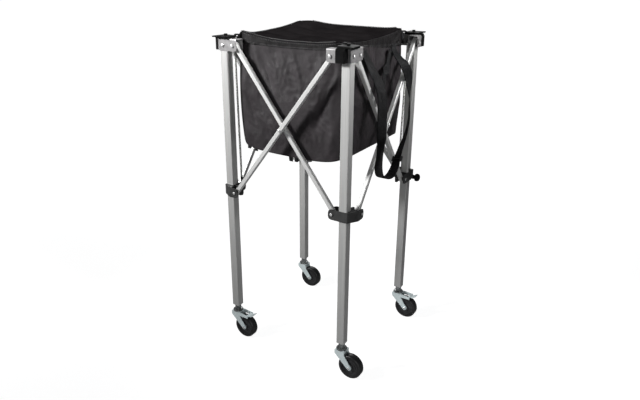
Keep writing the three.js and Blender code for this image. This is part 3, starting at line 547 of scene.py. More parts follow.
def dome(centre, axis):
    """A low dome on a flat face, with a flat back."""
    axis, first, second = square_axes(axis)
    points = []
    for ring in range(dome_rings):
        lift = math.sin(math.pi / 2 * ring / dome_rings)
        reach = dome_radius * math.cos(math.pi / 2 * ring / dome_rings)
        for side in range(dome_sides):
            outward = on_circle(first, second, 2 * math.pi * side / dome_sides)
            points.append(centre + outward * reach + axis * lift * dome_height)
    points.append(centre + axis * dome_height)
    faces = [tuple(range(dome_sides))[::-1]]
    pole = len(points) - 1
    for ring in range(dome_rings):
        for side in range(dome_sides):
            a, b = ring * dome_sides + side, ring * dome_sides + (side + 1) % dome_sides
            outer_ring = ring < dome_rings - 1
            faces.append((a, b, b + dome_sides, a + dome_sides) if outer_ring else (a, b, pole))
    return points, faces


def corner_rivets(name, corner, heads, body):
    """One piece of all the domes at a corner, each with its place and the way it faces."""
    domes = [dome(corner_place(corner, x, y, z), corner_direction(corner, *facing))
             for x, y, z, facing in heads]
    new_piece(f"{name}_{corner}", *merged(domes), rivet_steel, body, "bright_rivet")


front_leg = leg_middles["front"]
saddle_face = front_leg.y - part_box("short_saddle_front")[0].y
long_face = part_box("long_saddle_front")[1].x - front_leg.x
collar_face = front_leg.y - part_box("collar_front")[0].y
collar_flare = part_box("collar_front")[1].x - front_leg.x
saddle_heads = [(-pin_offset, -saddle_face, top_pin, (0, -1)), (long_face, pin_offset, top_pin, (1, 0)),
                (long_face, 0, top_pin, (1, 0))]
collar_heads = [(-pin_offset, -collar_face, low_pin, (0, -1)), (collar_flare, pin_offset, low_pin, (1, 0))]
for corner in corners:
    corner_rivets("saddle_rivets", corner, saddle_heads, corner_body[corner])
    corner_rivets("collar_rivets", corner, collar_heads, f"collar_{corner}")
    low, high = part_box(f"crossing_rivet_{corner}")
    outward = corner_direction(corner, 0, -1)
    centre = (low + high) / 2
    reach = abs((high - low).dot(outward)) / 2
    new_piece(f"crossing_head_{corner}", *dome(centre + outward * reach, outward), rivet_steel,
              frame["nodes"][f"crossing_rivet_{corner}"]["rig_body"], "bright_rivet")
    low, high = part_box(f"caster_fork_{corner}")
    axle = (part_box(f"caster_wheel_{corner}")[0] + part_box(f"caster_wheel_{corner}")[1]) / 2
    domes = [dome(Vector((axle.x, face, axle.z)), (0, way, 0)) for face, way in ((low.y, -1), (high.y, 1))]
    new_piece(f"axle_heads_{corner}", *merged(domes), rivet_steel, f"fork_{corner}", "bright_rivet")
print("rivet heads on", len(corners), "corners")

# %% [markdown]
# ## Elastic cords
# Beside two of the legs a speckled elastic cord runs from the saddle down to the collar, most likely to
# pull it up. It is held at both ends. A piece can be shortened with a joint but not stretched, so the
# cord is made as two: an outer one hangs from the saddle and an inner one stands on the collar, and they
# slide in each other when the collar moves.

# %% Elastic cords
cord_radius = 0.003
cord_top = (-0.034, 0.0023, 0.947)
cord_foot = (-0.032, 0.01055, 0.5313)
ferrule_length = 0.014
ring_step = 0.0015
braid_pitch = 0.008
stretch_reach = 0.125
inner_share = 0.94
ferrule_profile = [(0.0022, 0), (0.0038, 0.0004), (0.004, 0.0015), (0.004, 0.0115), (0.0036, 0.0135),
                   (0.0029, ferrule_length), (0.0022, 0.0135)]
eye_profile = [(0.0033, 0.0026), (0.0042, 0.0034), (0.0052, 0.0034), (0.006, 0.0025), (0.006, -0.0005),
               (0.0052, -0.0015), (0.0042, -0.0015), (0.0033, -0.0005)]

speckled_cord = new_finish("speckled_cord", (0.12, 0.12, 0.115), 0.7, specular=0.25)
tint(speckled_cord, speckle(speckled_cord, 300.0, 1.0), (0.06, 0.06, 0.057), (0.72, 0.72, 0.7), 0.38, 0.46)
spread(speckled_cord, speckle(speckled_cord, 90.0), 0.6, 0.8, "Roughness")
emboss(speckled_cord, speckle(speckled_cord, 500.0), 0.0003, 0.6)


def cord_piece(name, start, end, radius, body):
    """A braided cord between two points: its surface has the low waves of a braid."""
    count = max(2, round((end - start).length / ring_step))
    path = [start.lerp(end, ring / count) for ring in range(count + 1)]

    def radius_at(ring, angle):
        turn = 2 * math.pi * ring * ring_step / braid_pitch
        return radius * (1 + 0.05 * math.sin(turn + 3 * angle) * math.sin(turn - 3 * angle))

    return new_piece(name, *tube_mesh(path, radius_at, 12), speckled_cord, body, "speckled_cord")


for corner in ("right", "left"):
    top = corner_place(corner, *cord_top)
    foot = corner_place(corner, *cord_foot)
    ferrule_top = foot.lerp(top, ferrule_length / (top - foot).length)
    outer_cord = cord_piece(f"pull_cord_outer_{corner}", top, ferrule_top, cord_radius, corner_body[corner])
    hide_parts(f"pull_cord_{corner}")
    inner_top = foot.lerp(top, stretch_reach / (top - foot).length)
    cord_piece(f"pull_cord_inner_{corner}", foot, inner_top, cord_radius * inner_share, f"collar_{corner}")
    ferrule = turned(ferrule_profile, foot, top - foot, 24)
    new_piece(f"cord_ferrule_{corner}", *ferrule, zip_resin, f"collar_{corner}", "black_plastic")
    eye = turned(eye_profile, top, corner_direction(corner, 0, 1), 28)
    new_piece(f"cord_eye_{corner}", *eye, zip_resin, corner_body[corner], "black_plastic")
    print("elastic cord:", corner, round((top - foot).length, 3), "m")

# %% [markdown]
# ## Wheels
# Each caster has a rubber tyre on a moulded disc. The disc is thin between a thick rim and hub, and
# stiffened by low rings, and the fork's axle passes through the hub. Both are turned from profiles: the
# tyre's radius and middle come from the CAD wheel, at a finer step, so the tread looks round.

# %% Wheels
wheel_segments = 72
tyre_inner = 0.027
tread = 0.012
shoulder = 0.004
disc_half = [(0.0045, 0.0125), (0.0095, 0.0125), (0.0105, 0.0115), (0.0105, 0.0078), (0.0165, 0.0072),
             (0.0172, 0.0082), (0.0186, 0.0082), (0.0193, 0.0072), (0.0238, 0.0075), (0.0248, 0.0105),
             (0.0265, 0.0108)]
disc_profile = [(radius, -height) for radius, height in disc_half] + [(0.0268, 0)] + disc_half[::-1]
for corner in corners:
    low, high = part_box(f"caster_wheel_{corner}")
    centre = (low + high) / 2
    radius = (high.x - low.x) / 2
    tyre_half = [(tyre_inner, tread * 0.9), (tyre_inner + 0.001, tread), (radius - shoulder, tread),
                 (radius - shoulder * 0.35, tread - shoulder * 0.3), (radius, tread - shoulder)]
    tyre_profile = [(reach, -height) for reach, height in tyre_half] + [(radius, 0)] + tyre_half[::-1]
    tyre_mesh = turned(tyre_profile, centre, back_cart, wheel_segments)
    tyre = new_piece(f"tyre_{corner}", *tyre_mesh, tyre_rubber, f"wheel_{corner}", "black_rubber")
    creased(tyre, 50)
    disc_mesh = turned(disc_profile, centre, back_cart, wheel_segments)
    disc = new_piece(f"wheel_disc_{corner}", *disc_mesh, disc_plastic, f"wheel_{corner}", "black_rubber")
    creased(disc)
    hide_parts(f"caster_wheel_{corner}")
print("wheels:", len(corners), "tyres and discs")

# %% [markdown]
# ## The bag as one shell
# The real bag is sewn from four walls and a floor. Its rim is pulled up where the corners are hooked, and
# its cloth hangs in folds that start there. All four walls are cut from one closed ring of points, so
# that they meet at the corner seams whatever folds they get. A cloth simulation could find the folds by
# itself, but here they have to lie where the photograph shows them, so each main fold is given one by one
# as a line on its wall, and noise adds the small crumples between them. The back and left walls are
# hidden, and their folds are invented.

# %% Bag sizes
bag_half = 0.181
corner_cut = 0.030
rim_level = 0.964
bag_bottom = 0.647
bottom_lift = 0.021
wall_columns = 112
wall_rows = 96
cloth_thickness = 0.0012
sides = ["front", "right", "back", "left"]
rim_rise = 0.0075
rim_slope = 0.0055
# how much each hook lifts the rim, and how far that reaches across and back
corner_lifts = {"front": (0.008, 0.065, 0.075), "right": (0.008, 0.040, 0.090), "back": (0.011, 0.068, 0.090),
                "left": (0.018, 0.090, 0.055)}
corner_round = 0.010
corner_middle = bag_half - corner_cut / 2
corner_fit = corner_cut / (corner_cut / 2 + math.hypot(corner_cut / 2, corner_round))


def rim_height(x, y):
    """Height of the rim: it climbs towards the back and towards the hooks that pull it up."""
    lift = rim_rise + rim_slope * y / bag_half
    for corner, (sign_x, sign_y) in corner_signs.items():
        size, reach_x, reach_y = corner_lifts[corner]
        lift += size * math.exp(-((x - sign_x * bag_half) / reach_x) ** 2
                                - ((y - sign_y * bag_half) / reach_y) ** 2)
    return rim_level + lift


def bottom_height(x):
    """The floor sags between the two walls that it hangs from."""
    return bag_bottom + bottom_lift * min(1.0, abs(x) / bag_half) ** 4


def inset(beyond):
    """How far the plan turns in past the start of a cut corner, with a soft change of direction."""
    return corner_fit * (beyond + math.hypot(beyond, corner_round)) / 2


def plan_point(share, half=bag_half):
    """Plan of one wall, from -1 at its left-hand corner to 1 at its right-hand one, seen from outside."""
    across = share * (half - corner_cut / 2)
    return across, half - inset(abs(across) - (half - corner_cut))


print("bag half width:", bag_half, "rim:", round(rim_height(0, -bag_half), 4))

# %% [markdown]
# ## Folds
# A fold is a line across a wall with a width and a depth: metres across from the wall's middle and up
# from the floor's level at both ends, then how wide it is and how far the cloth moves there, in or out.
# Its depth fades towards both ends, and a bell curve gives its section.

# %% Folds of each wall
wall_folds = {
    "front": [
        (0.148, 0.262, 0.082, 0.080, 0.013, -0.0065), (0.150, 0.110, 0.130, 0.012, 0.013, 0.0045),
        (0.153, 0.190, 0.152, 0.110, 0.008, -0.0045), (-0.088, 0.262, -0.048, 0.185, 0.006, -0.0035),
        (-0.142, 0.165, -0.105, 0.050, 0.007, -0.004), (-0.092, 0.080, -0.060, 0.030, 0.008, -0.003),
        (-0.120, 0.280, -0.150, 0.160, 0.012, 0.003), (0.030, 0.275, 0.060, 0.200, 0.010, -0.003),
        (0.120, 0.285, 0.075, 0.215, 0.010, 0.0035), (-0.010, 0.100, 0.030, 0.020, 0.012, -0.0035),
        (0.062, 0.150, 0.100, 0.035, 0.010, 0.003), (-0.030, 0.290, -0.010, 0.220, 0.009, 0.0025),
    ],
    "right": [
        (-0.012, 0.285, 0.004, 0.195, 0.007, -0.004), (0.052, 0.285, 0.085, 0.190, 0.010, -0.005),
        (0.025, 0.280, 0.040, 0.185, 0.012, 0.0035), (-0.090, 0.275, -0.060, 0.150, 0.011, -0.004),
        (-0.140, 0.250, -0.110, 0.090, 0.012, -0.005), (0.120, 0.200, 0.100, 0.060, 0.012, -0.004),
        (-0.040, 0.140, -0.010, 0.040, 0.014, 0.004), (0.040, 0.120, 0.060, 0.020, 0.010, -0.003),
        (-0.100, 0.080, -0.070, 0.015, 0.010, -0.0035), (0.140, 0.270, 0.130, 0.180, 0.012, 0.003),
        (0.150, 0.308, 0.060, 0.282, 0.0045, -0.004), (0.150, 0.296, 0.075, 0.252, 0.0045, -0.004),
        (0.152, 0.315, 0.085, 0.303, 0.004, -0.003), (0.152, 0.302, 0.090, 0.280, 0.005, 0.0025),
    ],
    "back": [
        (-0.140, 0.270, -0.080, 0.150, 0.012, -0.005), (0.140, 0.270, 0.070, 0.140, 0.012, -0.005),
        (-0.020, 0.280, 0.010, 0.180, 0.010, -0.003), (0.020, 0.120, 0.050, 0.030, 0.012, 0.004),
        (-0.100, 0.110, -0.070, 0.030, 0.010, -0.004), (0.120, 0.130, 0.110, 0.030, 0.010, -0.003),
    ],
    "left": [
        (-0.130, 0.280, -0.070, 0.170, 0.011, -0.005), (0.135, 0.270, 0.090, 0.130, 0.012, -0.005),
        (0.010, 0.270, -0.010, 0.170, 0.010, -0.003), (-0.050, 0.130, -0.020, 0.030, 0.012, 0.004),
        (0.060, 0.120, 0.030, 0.030, 0.010, -0.003), (-0.120, 0.130, -0.115, 0.030, 0.010, -0.004),
    ],
}


corner_fullness = 0.007
corner_fullness_reach = 0.045
bulge = 0.003
deepest_out = 0.004
soft_crumple, sharp_crumple, fine_crumple = 0.0035, 0.0055, 0.0022
# the share of the wall's height at which its folds have died out
rim_hold = {"front": 1.012, "right": 1.05, "back": 0.90, "left": 1.0}


def fold_depth(side, share, height_share):
    """How far a wall moves out at a place: bulge, listed folds, and crumples with sharp crests."""
    across = share * corner_middle
    up = height_share * (rim_level - bag_bottom)
    depth = bulge * (1 - share * share) * math.sin(math.pi * min(1.0, height_share + 0.1)) - bulge
    for x0, z0, x1, z1, width, size in wall_folds[side]:
        length_squared = (x1 - x0) ** 2 + (z1 - z0) ** 2
        along = ((across - x0) * (x1 - x0) + (up - z0) * (z1 - z0)) / length_squared
        along = min(1.0, max(0.0, along))
        gap = math.hypot(across - x0 - (x1 - x0) * along, up - z0 - (z1 - z0) * along)
        depth += size * (0.35 + 0.65 * math.sin(math.pi * along)) * math.exp(-(gap / width) ** 2)
    seed = sides.index(side) * 7.3
    spot = Vector((across, up, seed))
    depth += noise.noise(spot * 11) * soft_crumple
    slanted = Vector((across * 24 + up * 9, up * 9 - across * 4, seed + 5))
    depth += (0.5 - abs(noise.noise(slanted))) * sharp_crumple
    small = Vector((across * 55 + up * 18, up * 38 - across * 12, seed + 9))
    depth += (0.4 - abs(noise.noise(small))) * fine_crumple
    envelope = min(1.0, (1 - abs(share)) * 7) * min(1.0, max(0.0, rim_hold[side] - height_share) * 9)
    return envelope * min(1.0, height_share * 9 + 0.15) * min(deepest_out, depth)


def corner_push(x, y, height_share):
    """The corners of the bag stand out between its hooks and its floor."""
    sign_x, sign_y = math.copysign(1, x), math.copysign(1, y)
    gap = math.hypot(x - sign_x * corner_middle, y - sign_y * corner_middle)
    fullness = math.sin(math.pi * min(1.0, height_share * 1.08)) ** 0.7
    size = corner_fullness * math.exp(-(gap / corner_fullness_reach) ** 2) * fullness
    return sign_x * size, sign_y * size


def side_turn(side):
    turn = sides.index(side) * math.pi / 2
    return math.cos(turn), math.sin(turn)


def wall_place(side, share, height_share, proud=0.0):
    """A point of a wall, some way in front of its cloth."""
    across, out = plan_point(share)
    cos, sin = side_turn(side)
    rim = rim_height(across * cos + out * sin, across * sin - out * cos)
    bottom = bottom_height(across * cos + out * sin)
    out += fold_depth(side, share, height_share) + proud
    x, y = across * cos + out * sin, across * sin - out * cos
    push = corner_push(x, y, height_share)
    return place(x + push[0], y + push[1], bottom + (rim - bottom) * height_share)


print("hand-placed folds:", sum(len(folds) for folds in wall_folds.values()))

# %% [markdown]
# ## Bag walls
# Each wall is a grid of points on the shell with a second layer inside it, which makes a thin closed
# sheet.

# %% Bag walls
wall_bodies = {"front": "root", "right": "root", "back": "leg_right", "left": "leg_left"}
walls = {}
for side in sides:
    def on_wall(across, up, side=side):
        return wall_place(side, across * 2 - 1, up)

    wall_mesh = sheet_mesh(wall_columns, wall_rows, on_wall, cloth_thickness)
    wall = new_piece(f"cloth_wall_{side}", *wall_mesh, wall_nylon, wall_bodies[side], "black_cloth")
    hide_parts(f"bag_wall_{side}")
    walls[side] = wall
print("bag walls:", len(walls))

# %% [markdown]
# ## Hem
# Along the rim the cloth is folded over and sewn down. The hem is a strip of its own in front of the
# wall, and it gets wider towards the corner where the cloth is gathered. Its lower edge is given by a few
# heights along each wall. Two rows of stitches hold it: short dashes of thread, laid as small blocks
# along the strip.

# %% Hem of each wall
hem_edges = {"front": (0.953, 0.951, 0.9495, 0.951, 0.957), "right": (0.957, 0.956, 0.946, 0.936, 0.935),
             "back": (0.945, 0.950, 0.952, 0.952, 0.950), "left": (0.950, 0.951, 0.951, 0.952, 0.953)}
hem_proud = 0.0011
hem_thickness = 0.0009
stitch_pitch = 0.0042
stitch_size = (0.0028, 0.0006, 0.0007)
stitch_levels = (0.10, 0.22)
stitch_reach = 0.98
stitch_proud = 0.0002
straight_up = Vector((0, 0, 1))
stitch_thread = new_finish("stitch_thread", (0.05, 0.048, 0.05), 0.6)
tint(stitch_thread, speckle(stitch_thread, 400.0), (0.03, 0.029, 0.03), (0.07, 0.068, 0.07))
emboss(stitch_thread, speckle(stitch_thread, 2500.0), 0.0001)


def hem_point(side, share, up):
    """A point of the hem, from its lower edge to the rim."""
    rim = wall_place(side, share, 1.0)
    bottom = bottom_height(rim.x - middle.x)
    edge = float(np.interp(share, (-1, -0.5, 0, 0.5, 1), hem_edges[side]))
    height = edge + (rim.z - 0.0004 - edge) * up
    pucker = 0.0003 * math.sin(share * 70 + up * 3) * math.sin(math.pi * up)
    return wall_place(side, share, (height - bottom) / (rim.z - bottom), hem_proud + pucker)


def outward_of(side):
    """The ways out of a side and along it."""
    cos, sin = side_turn(side)
    return Vector((sin, -cos, 0)), Vector((cos, sin, 0))


hems, stitches = {}, {}
hem_reach = 0.97
stitch_count = round(2 * corner_middle * hem_reach / stitch_pitch)
for side in sides:
    def on_hem(across, up, side=side):
        return hem_point(side, (across * 2 - 1) * hem_reach, up)

    hem_mesh = sheet_mesh(110, 8, on_hem, hem_thickness)
    hems[side] = new_piece(f"hem_{side}", *hem_mesh, hem_tape, wall_bodies[side], "black_cloth")
    out, along = outward_of(side)
    dashes = []
    for level in stitch_levels:
        for index in range(stitch_count):
            share = ((index + 0.5) / stitch_count * 2 - 1) * hem_reach * stitch_reach
            spot = hem_point(side, share, level) + out * stitch_proud
            dashes.append(block(spot, along, out, straight_up, stitch_size))
    stitch_mesh = merged(dashes)
    stitches[side] = new_piece(f"hem_stitches_{side}", *stitch_mesh, stitch_thread, wall_bodies[side],
                               "black_cloth")
print("hems:", len(hems), "with two rows of stitches")

# %% [markdown]
# ## Floor and lid
# Both are panels cut to the bag's own plan, in two halves that meet on the crease where they fold. The
# floor sags between its walls. The lid follows the rim, so it climbs to the hooks at its corners, sags in
# the middle and keeps long soft creases from being folded away. It hinges on the right wall just inside
# the rim: what lies outside that line is a binding that stays on the wall.


# %% Floor and lid
def panel_reach(x, reach):
    """How far a panel with the bag's plan reaches sideways at a distance x from its middle."""
    if abs(x) < reach - corner_cut / 2:
        return reach - inset(abs(x) - (reach - corner_cut))
    doubled = 2 * max(reach - abs(x), 0.0003) / corner_fit
    return reach - corner_cut + (doubled ** 2 - corner_round ** 2) / (2 * doubled)


def floor_height(x, y):
    return bottom_height(x) + 0.0022 + noise.noise(Vector((x * 9, y * 9, 4))) * 0.0008


# each crease: how far from the middle, how deep and how wide
lid_creases = [(-0.020, 0.0045, 0.012), (0.052, 0.0040, 0.014), (-0.092, 0.0030, 0.012),
               (0.105, 0.0025, 0.010)]


def lid_height(x, y):
    sag = lid_sag * max(0, 1 - (x / bag_half) ** 2) * max(0, 1 - (y / bag_half) ** 2)
    edge = max(0.0, min(1.0, (bag_half - abs(x)) * 30) * min(1.0, (bag_half - abs(y)) * 30))
    crease = 0.0
    for offset, depth, width in lid_creases:
        wander = noise.noise(Vector((x * 6, y * 6, offset * 40))) * 0.012
        distance = (x * 0.30 + y * 0.95 - offset - wander) / width
        crease -= depth * math.exp(-distance * distance)
    ripple = noise.noise(Vector((x * 14, y * 14, 1.5))) * 0.002
    pressed = min(1.0, 0.25 + abs(x) / 0.05)
    return rim_height(x, y) + lid_over_rim - sag + edge * pressed * (crease + ripple)


lid_sag = 0.006
lid_over_rim = 0.0023
floor_reach = bag_half - 0.0023
lid_reach = bag_half + 0.0012
seam_width = 0.010
seam_start = lid_reach - seam_width
hinge_line = 0.1770
hinge_reach = 0.143
hinge_taper = 1.6
hinge_gap = 0.0002
half_gap = 0.00015


def floor_side(x):
    return panel_reach(x, floor_reach)


def lid_side(x):
    """The lid's own reach. Near its hinge it is cut back, so that it clears the saddles when it opens."""
    return min(panel_reach(x, lid_reach), hinge_reach + max(0.0, seam_start - x) * hinge_taper)


def binding_side(x):
    return panel_reach(x, lid_reach)


def panel(name, x0, x1, side_reach, height, finish, body):
    columns, rows = 64, 96

    def outer(across, up):
        x = x0 + (x1 - x0) * (1 - math.cos(math.pi * across)) / 2
        y = (up * 2 - 1) * side_reach(x)
        return place(x, y, height(x, y))

    return new_piece(name, *sheet_mesh(columns, rows, outer, cloth_thickness), finish, body, "black_cloth")


def floor_half(side, start, end):
    return panel(f"cloth_floor_{side}", start, end, floor_side, floor_height, wall_nylon, f"bag_floor_{side}")


def lid_part(name, start, end, side_reach, body):
    return panel(name, start, end, side_reach, lid_height, lid_nylon, body)


floor_right = floor_half("right", half_gap, floor_reach)
floor_left = floor_half("left", -floor_reach, -half_gap)
lid_right = lid_part("cloth_lid_right", 0.0, seam_start, lid_side, "lid_right")
lid_left = lid_part("cloth_lid_left", -lid_reach, 0.0, binding_side, "lid_left")
lid_strip = lid_part("cloth_lid_seam", seam_start, hinge_line, lid_side, "lid_seam")
lid_binding = lid_part("lid_binding", hinge_line + hinge_gap, lid_reach, binding_side, "root")
replaced = {"bag_floor_right": floor_right, "bag_floor_left": floor_left, "lid_right": lid_right,
            "lid_left": lid_left, "lid_seam": lid_strip}
for node_name, piece in replaced.items():
    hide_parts(node_name)
print("floor and lid panels:", len(replaced), "and the binding at the hinge")

# %% [markdown]
# ## Zip
# The zip closes the lid to the rim on three sides: front, left and back. Each tooth is a small moulded
# block. One row is sewn to the wall and gathers with it, the other lies on the lid's edge, in the halves
# that the lid creases into. The slider needs a straight track, so the back hem carries two rows at its
# height, besides the row on the lid's edge.

# %% Zip
tooth_pitch = 0.0058
tooth_size = (0.0026, 0.0010, 0.0030)
lid_tooth_size = (0.0030, 0.0030, 0.0026)
tooth_reach = 0.90
track_levels = (0.9572, 0.9628)
tooth_below_rim = 0.0026
tooth_inset = 0.0022
tooth_over_lid = 0.0010
tooth_proud = 0.0002
crease_gap = 0.002
zip_pieces = {}
lid_teeth = {"lid_right": [], "lid_left": []}
for side in ("front", "left", "back"):
    out, along = outward_of(side)
    count = round(2 * corner_middle * tooth_reach / tooth_pitch)
    wall_teeth = []
    for index in range(count):
        share = ((index + 0.5) / count * 2 - 1) * tooth_reach
        rim = wall_place(side, share, 1.0)
        bottom = bottom_height(rim.x - middle.x)
        levels = track_levels if side == "back" else (rim.z - tooth_below_rim,)
        for level in levels:
            spot = wall_place(side, share, (level - bottom) / (rim.z - bottom), hem_proud + tooth_proud)
            wall_teeth.append(block(spot, along, out, straight_up, tooth_size))
        across, reach = plan_point(share, lid_reach - tooth_inset)
        spot = place(*(along * across + out * reach).xy, 0)
        x, y = spot.x - middle.x, spot.y - middle.y
        spot.z = lid_height(x, y) + tooth_over_lid
        if abs(x) > crease_gap:
            half = "lid_right" if x > 0 else "lid_left"
            lid_teeth[half].append(block(spot, along, out, straight_up, lid_tooth_size))
    row = merged(wall_teeth)
    zip_pieces[side] = new_piece(f"zip_teeth_{side}", *row, zip_resin, wall_bodies[side], "black_plastic")
lid_zips = {half: new_piece(f"zip_teeth_{half}", *merged(teeth), zip_resin, half, "black_plastic")
            for half, teeth in lid_teeth.items()}
print("zip teeth on the lid:", sum(len(teeth) for teeth in lid_teeth.values()))

# %% [markdown]
# ## Corner loops
# A loop of webbing is sewn into each upper corner of the bag and hangs on the corner block's hook. Its
# line runs out from the bag, round the hook's tip and back: distances outwards from the seam and
# sideways, in millimetres.

# %% Corner loops
millimetre = 0.001
seam_to_leg = 44.5
loop_line = [(-0.5, 2.2), (2, 3.4), (5, 5.4), (9, 5.7), (12, 4.4), (13.4, 0),
             (12, -4.4), (9, -5.7), (5, -5.4), (2, -3.4), (-0.5, -2.2)]
loop_thickness = 0.0014
loop_bottom = 0.937
loop_outer_top = 0.9695


def smooth_route(route, steps):
    """Points between the given ones on a curve that passes through all of them."""
    values = np.array(route, float)
    ends = np.vstack([2 * values[0] - values[1], values, 2 * values[-1] - values[-2]])
    line = []
    for index in range(len(values) - 1):
        p0, p1, p2, p3 = ends[index:index + 4]
        for step in range(steps):
            t = step / steps
            line.append(0.5 * (2 * p1 + (p2 - p0) * t + (2 * p0 - 5 * p1 + 4 * p2 - p3) * t ** 2
                               + (3 * p1 - p0 - 3 * p2 + p3) * t ** 3))
    line.append(values[-1])
    return np.array(line)


loops = {}
loop_curve = smooth_route(loop_line, 4)
for corner in corners:
    sign_x, sign_y = corner_signs[corner]
    corner_rim = rim_height(sign_x * corner_middle, sign_y * corner_middle) - 0.001

    def loop_point(across, up, corner=corner, corner_rim=corner_rim):
        out, aside = loop_curve[round(across * (len(loop_curve) - 1))]
        slope = min(1.0, max(0.0, (out - 2.5) / 7))
        top = corner_rim + (loop_outer_top - corner_rim) * slope
        bottom = loop_bottom + 0.004 * slope
        x = (-seam_to_leg + out + aside) / math.sqrt(2)
        y = (seam_to_leg - out + aside) / math.sqrt(2)
        return corner_place(corner, x * millimetre, y * millimetre, bottom + (top - bottom) * up)

    loop_mesh = sheet_mesh(len(loop_curve) - 1, 12, loop_point, loop_thickness)
    loops[corner] = new_piece(f"corner_loop_{corner}", *loop_mesh, strap_webbing, corner_body[corner],
                              "black_webbing")

# %% [markdown]
# ## Carrying strap
# Flat webbing is sewn to the right wall at both ends and hangs outside the links, with a loose end that
# crosses behind. That loose end is partly webbing and partly painted shade: its dark ribbon lies where the
# right strand throws its shadow on the wall, and it draws the edge of that shadow. A ribbon needs a line and
# a direction for its width at each point, so each route is a list of places across, back and up, in
# millimetres, with a turn of the width in degrees. A smooth curve runs through them.

# %% Carrying strap
strap_width = 0.027
strap_thickness = 0.002
route_steps = 6
strap_route = [
    (182.9, -86, 947, 0), (183.6, -84, 935, 0), (186, -75, 922, 5), (192, -69, 907, 12), (202, -69, 890, 20),
    (214, -68, 871, 28), (225, -69, 850, 36), (233, -72, 828, 42), (238, -76, 792, 45), (239, -77, 753, 50),
    (240, -78, 719, 75), (241, -82, 695, 105), (241, -86, 670, 115), (242, -91, 648, 112),
    (242, -92, 628, 100),
    (242, -82, 606, 92), (242, -55, 591, 90), (242, -22, 586, 90), (242, 4, 596, 95), (241, 23, 615, 110),
    (240, 40, 636, 125), (239, 59, 657, 137), (238, 80, 677, 145), (237, 98, 699, 147), (237, 107, 727, 147),
    (237, 107, 762, 150), (237, 103, 796, 160), (237, 98, 826, 180), (237, 90, 853, 205), (235, 78, 878, 220),
    (226, 68, 898, 215), (212, 70, 911, 200), (198, 80, 921, 188), (187, 91, 929, 182), (183.6, 94, 937, 180),
    (182.9, 94, 947, 180),
]
# the loose end: a dark ribbon that is partly webbing and partly painted shade, where the strand shadows the
# wall
tail_and_shade_route = [
    (186, 70, 929, 0), (190, 48, 906, 0), (193, 37, 890, 0), (203, 5, 880, 0), (205, -4, 870, 0),
    (208, -17, 844, 0), (222, -45, 820, 0), (228, -62, 805, 0), (230, -70, 790, 0),
]
tail_and_shade_width = 0.020


class Ribbon:
    """Flat webbing along a smooth route, with the directions of its width and its face at each point."""

    def __init__(self, route, width, thickness):
        line = smooth_route(route, route_steps)
        self.middles = [place(*(p[:3] * millimetre)) for p in line]
        self.turns = [math.radians(p[3]) for p in line]
        self.width, self.thickness = width, thickness
        self.length = sum((b - a).length for a, b in zip(self.middles, self.middles[1:]))

    def directions(self, index):
        before, after = max(0, index - 1), min(len(self.middles) - 1, index + 1)
        tangent = (self.middles[after] - self.middles[before]).normalized()
        wide = Vector((math.sin(self.turns[index]), math.cos(self.turns[index]), 0))
        wide = (wide - tangent * wide.dot(tangent)).normalized()
        return tangent, wide, wide.cross(tangent).normalized()

    def point(self, across, along):
        index = round(along * (len(self.middles) - 1))
        _, wide, out = self.directions(index)
        return self.middles[index] + wide * (across - 0.5) * self.width + out * self.thickness / 2

    def mesh(self):
        return sheet_mesh(8, len(self.middles) - 1, self.point, self.thickness)


strap_ribbon = Ribbon(strap_route, strap_width, strap_thickness)
strap = new_piece("webbing_strap", *strap_ribbon.mesh(), strap_webbing, "root", "black_webbing")
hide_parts("carry_strap")
# partly webbing, partly painted shade: a dark ribbon along the edge of the strand's shadow on the wall
tail_and_shade_ribbon = Ribbon(tail_and_shade_route, tail_and_shade_width, strap_thickness)
strap_tail_and_painted_shade = new_piece("strap_tail_and_painted_shade", *tail_and_shade_ribbon.mesh(), strap_webbing, "root", "black_webbing")
print("strap length:", round(strap_ribbon.length, 3), "m, tail:", round(tail_and_shade_ribbon.length, 3), "m")

# %% [markdown]
# ## Strap fittings
# The right strand runs through a slide: two bars in front of the webbing, one behind it, and two side
# rails that join them. Short webbing ends are sewn under the bag's front edge and at the left strand.

# %% Strap fittings
slide_index = int(19.5 * route_steps)
slide_length = 0.014
slide_width = 0.0335
slide_bar = 0.003
rail_offset = 0.0153
rail_size = (0.0029, 0.016, 0.0084)
bar_offset = 0.0027
tangent, wide, out = strap_ribbon.directions(slide_index)
centre = strap_ribbon.middles[slide_index]
outside = 1 if out.x > 0 else -1
bar_size = (slide_width, slide_bar, slide_bar)
slide_blocks = []
for way in (-1, 1):
    bar = centre + tangent * way * (slide_length - slide_bar) / 2 + out * outside * bar_offset
    slide_blocks.append(block(bar, wide, tangent, out, bar_size))
    slide_blocks.append(block(centre + wide * way * rail_offset, wide, tangent, out, rail_size))
slide_blocks.append(block(centre - out * outside * bar_offset, wide, tangent, out, bar_size))
slide = new_piece("strap_slide", *merged(slide_blocks), zip_resin, "root", "black_plastic")
creased(slide)

end_spots = [(0.007, 0.641, 0.012), (0.024, 0.642, 0.010), (-0.142, 0.655, 0.012), (-0.117, 0.651, 0.010)]
end_inset, end_thickness, end_length = 0.004, 0.0016, 0.016
end_directions = (Vector(across_cart), Vector(back_cart), straight_up)
webbing_ends = merged(block(place(x, -bag_half + end_inset, z), *end_directions,
                            (width, end_thickness, end_length)) for x, z, width in end_spots)
floor_ends = new_piece("floor_webbing_ends", *webbing_ends, strap_webbing, "root", "black_webbing")
print("strap slide and", len(end_spots), "webbing ends")

# %% [markdown]
# ## Meshes of their own for the cloth and its trim
# A sheet's flat size is about what it was cut from, and the table below lists it for the floor and lid
# panels. Each wall with the trim sewn to it, each panel with its zip teeth, and the strap with its loose
# end and slide get meshes of their own.


for side, wall in walls.items():
    trim = [hems[side], stitches[side]]
    trim.extend([zip_pieces[side]] if side in zip_pieces else [])
    trim.extend([floor_ends] if side == "front" else [])
    trim.extend([lid_binding] if side == "right" else [])
    for piece in (wall, *trim):
        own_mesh(piece)
    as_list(trim)

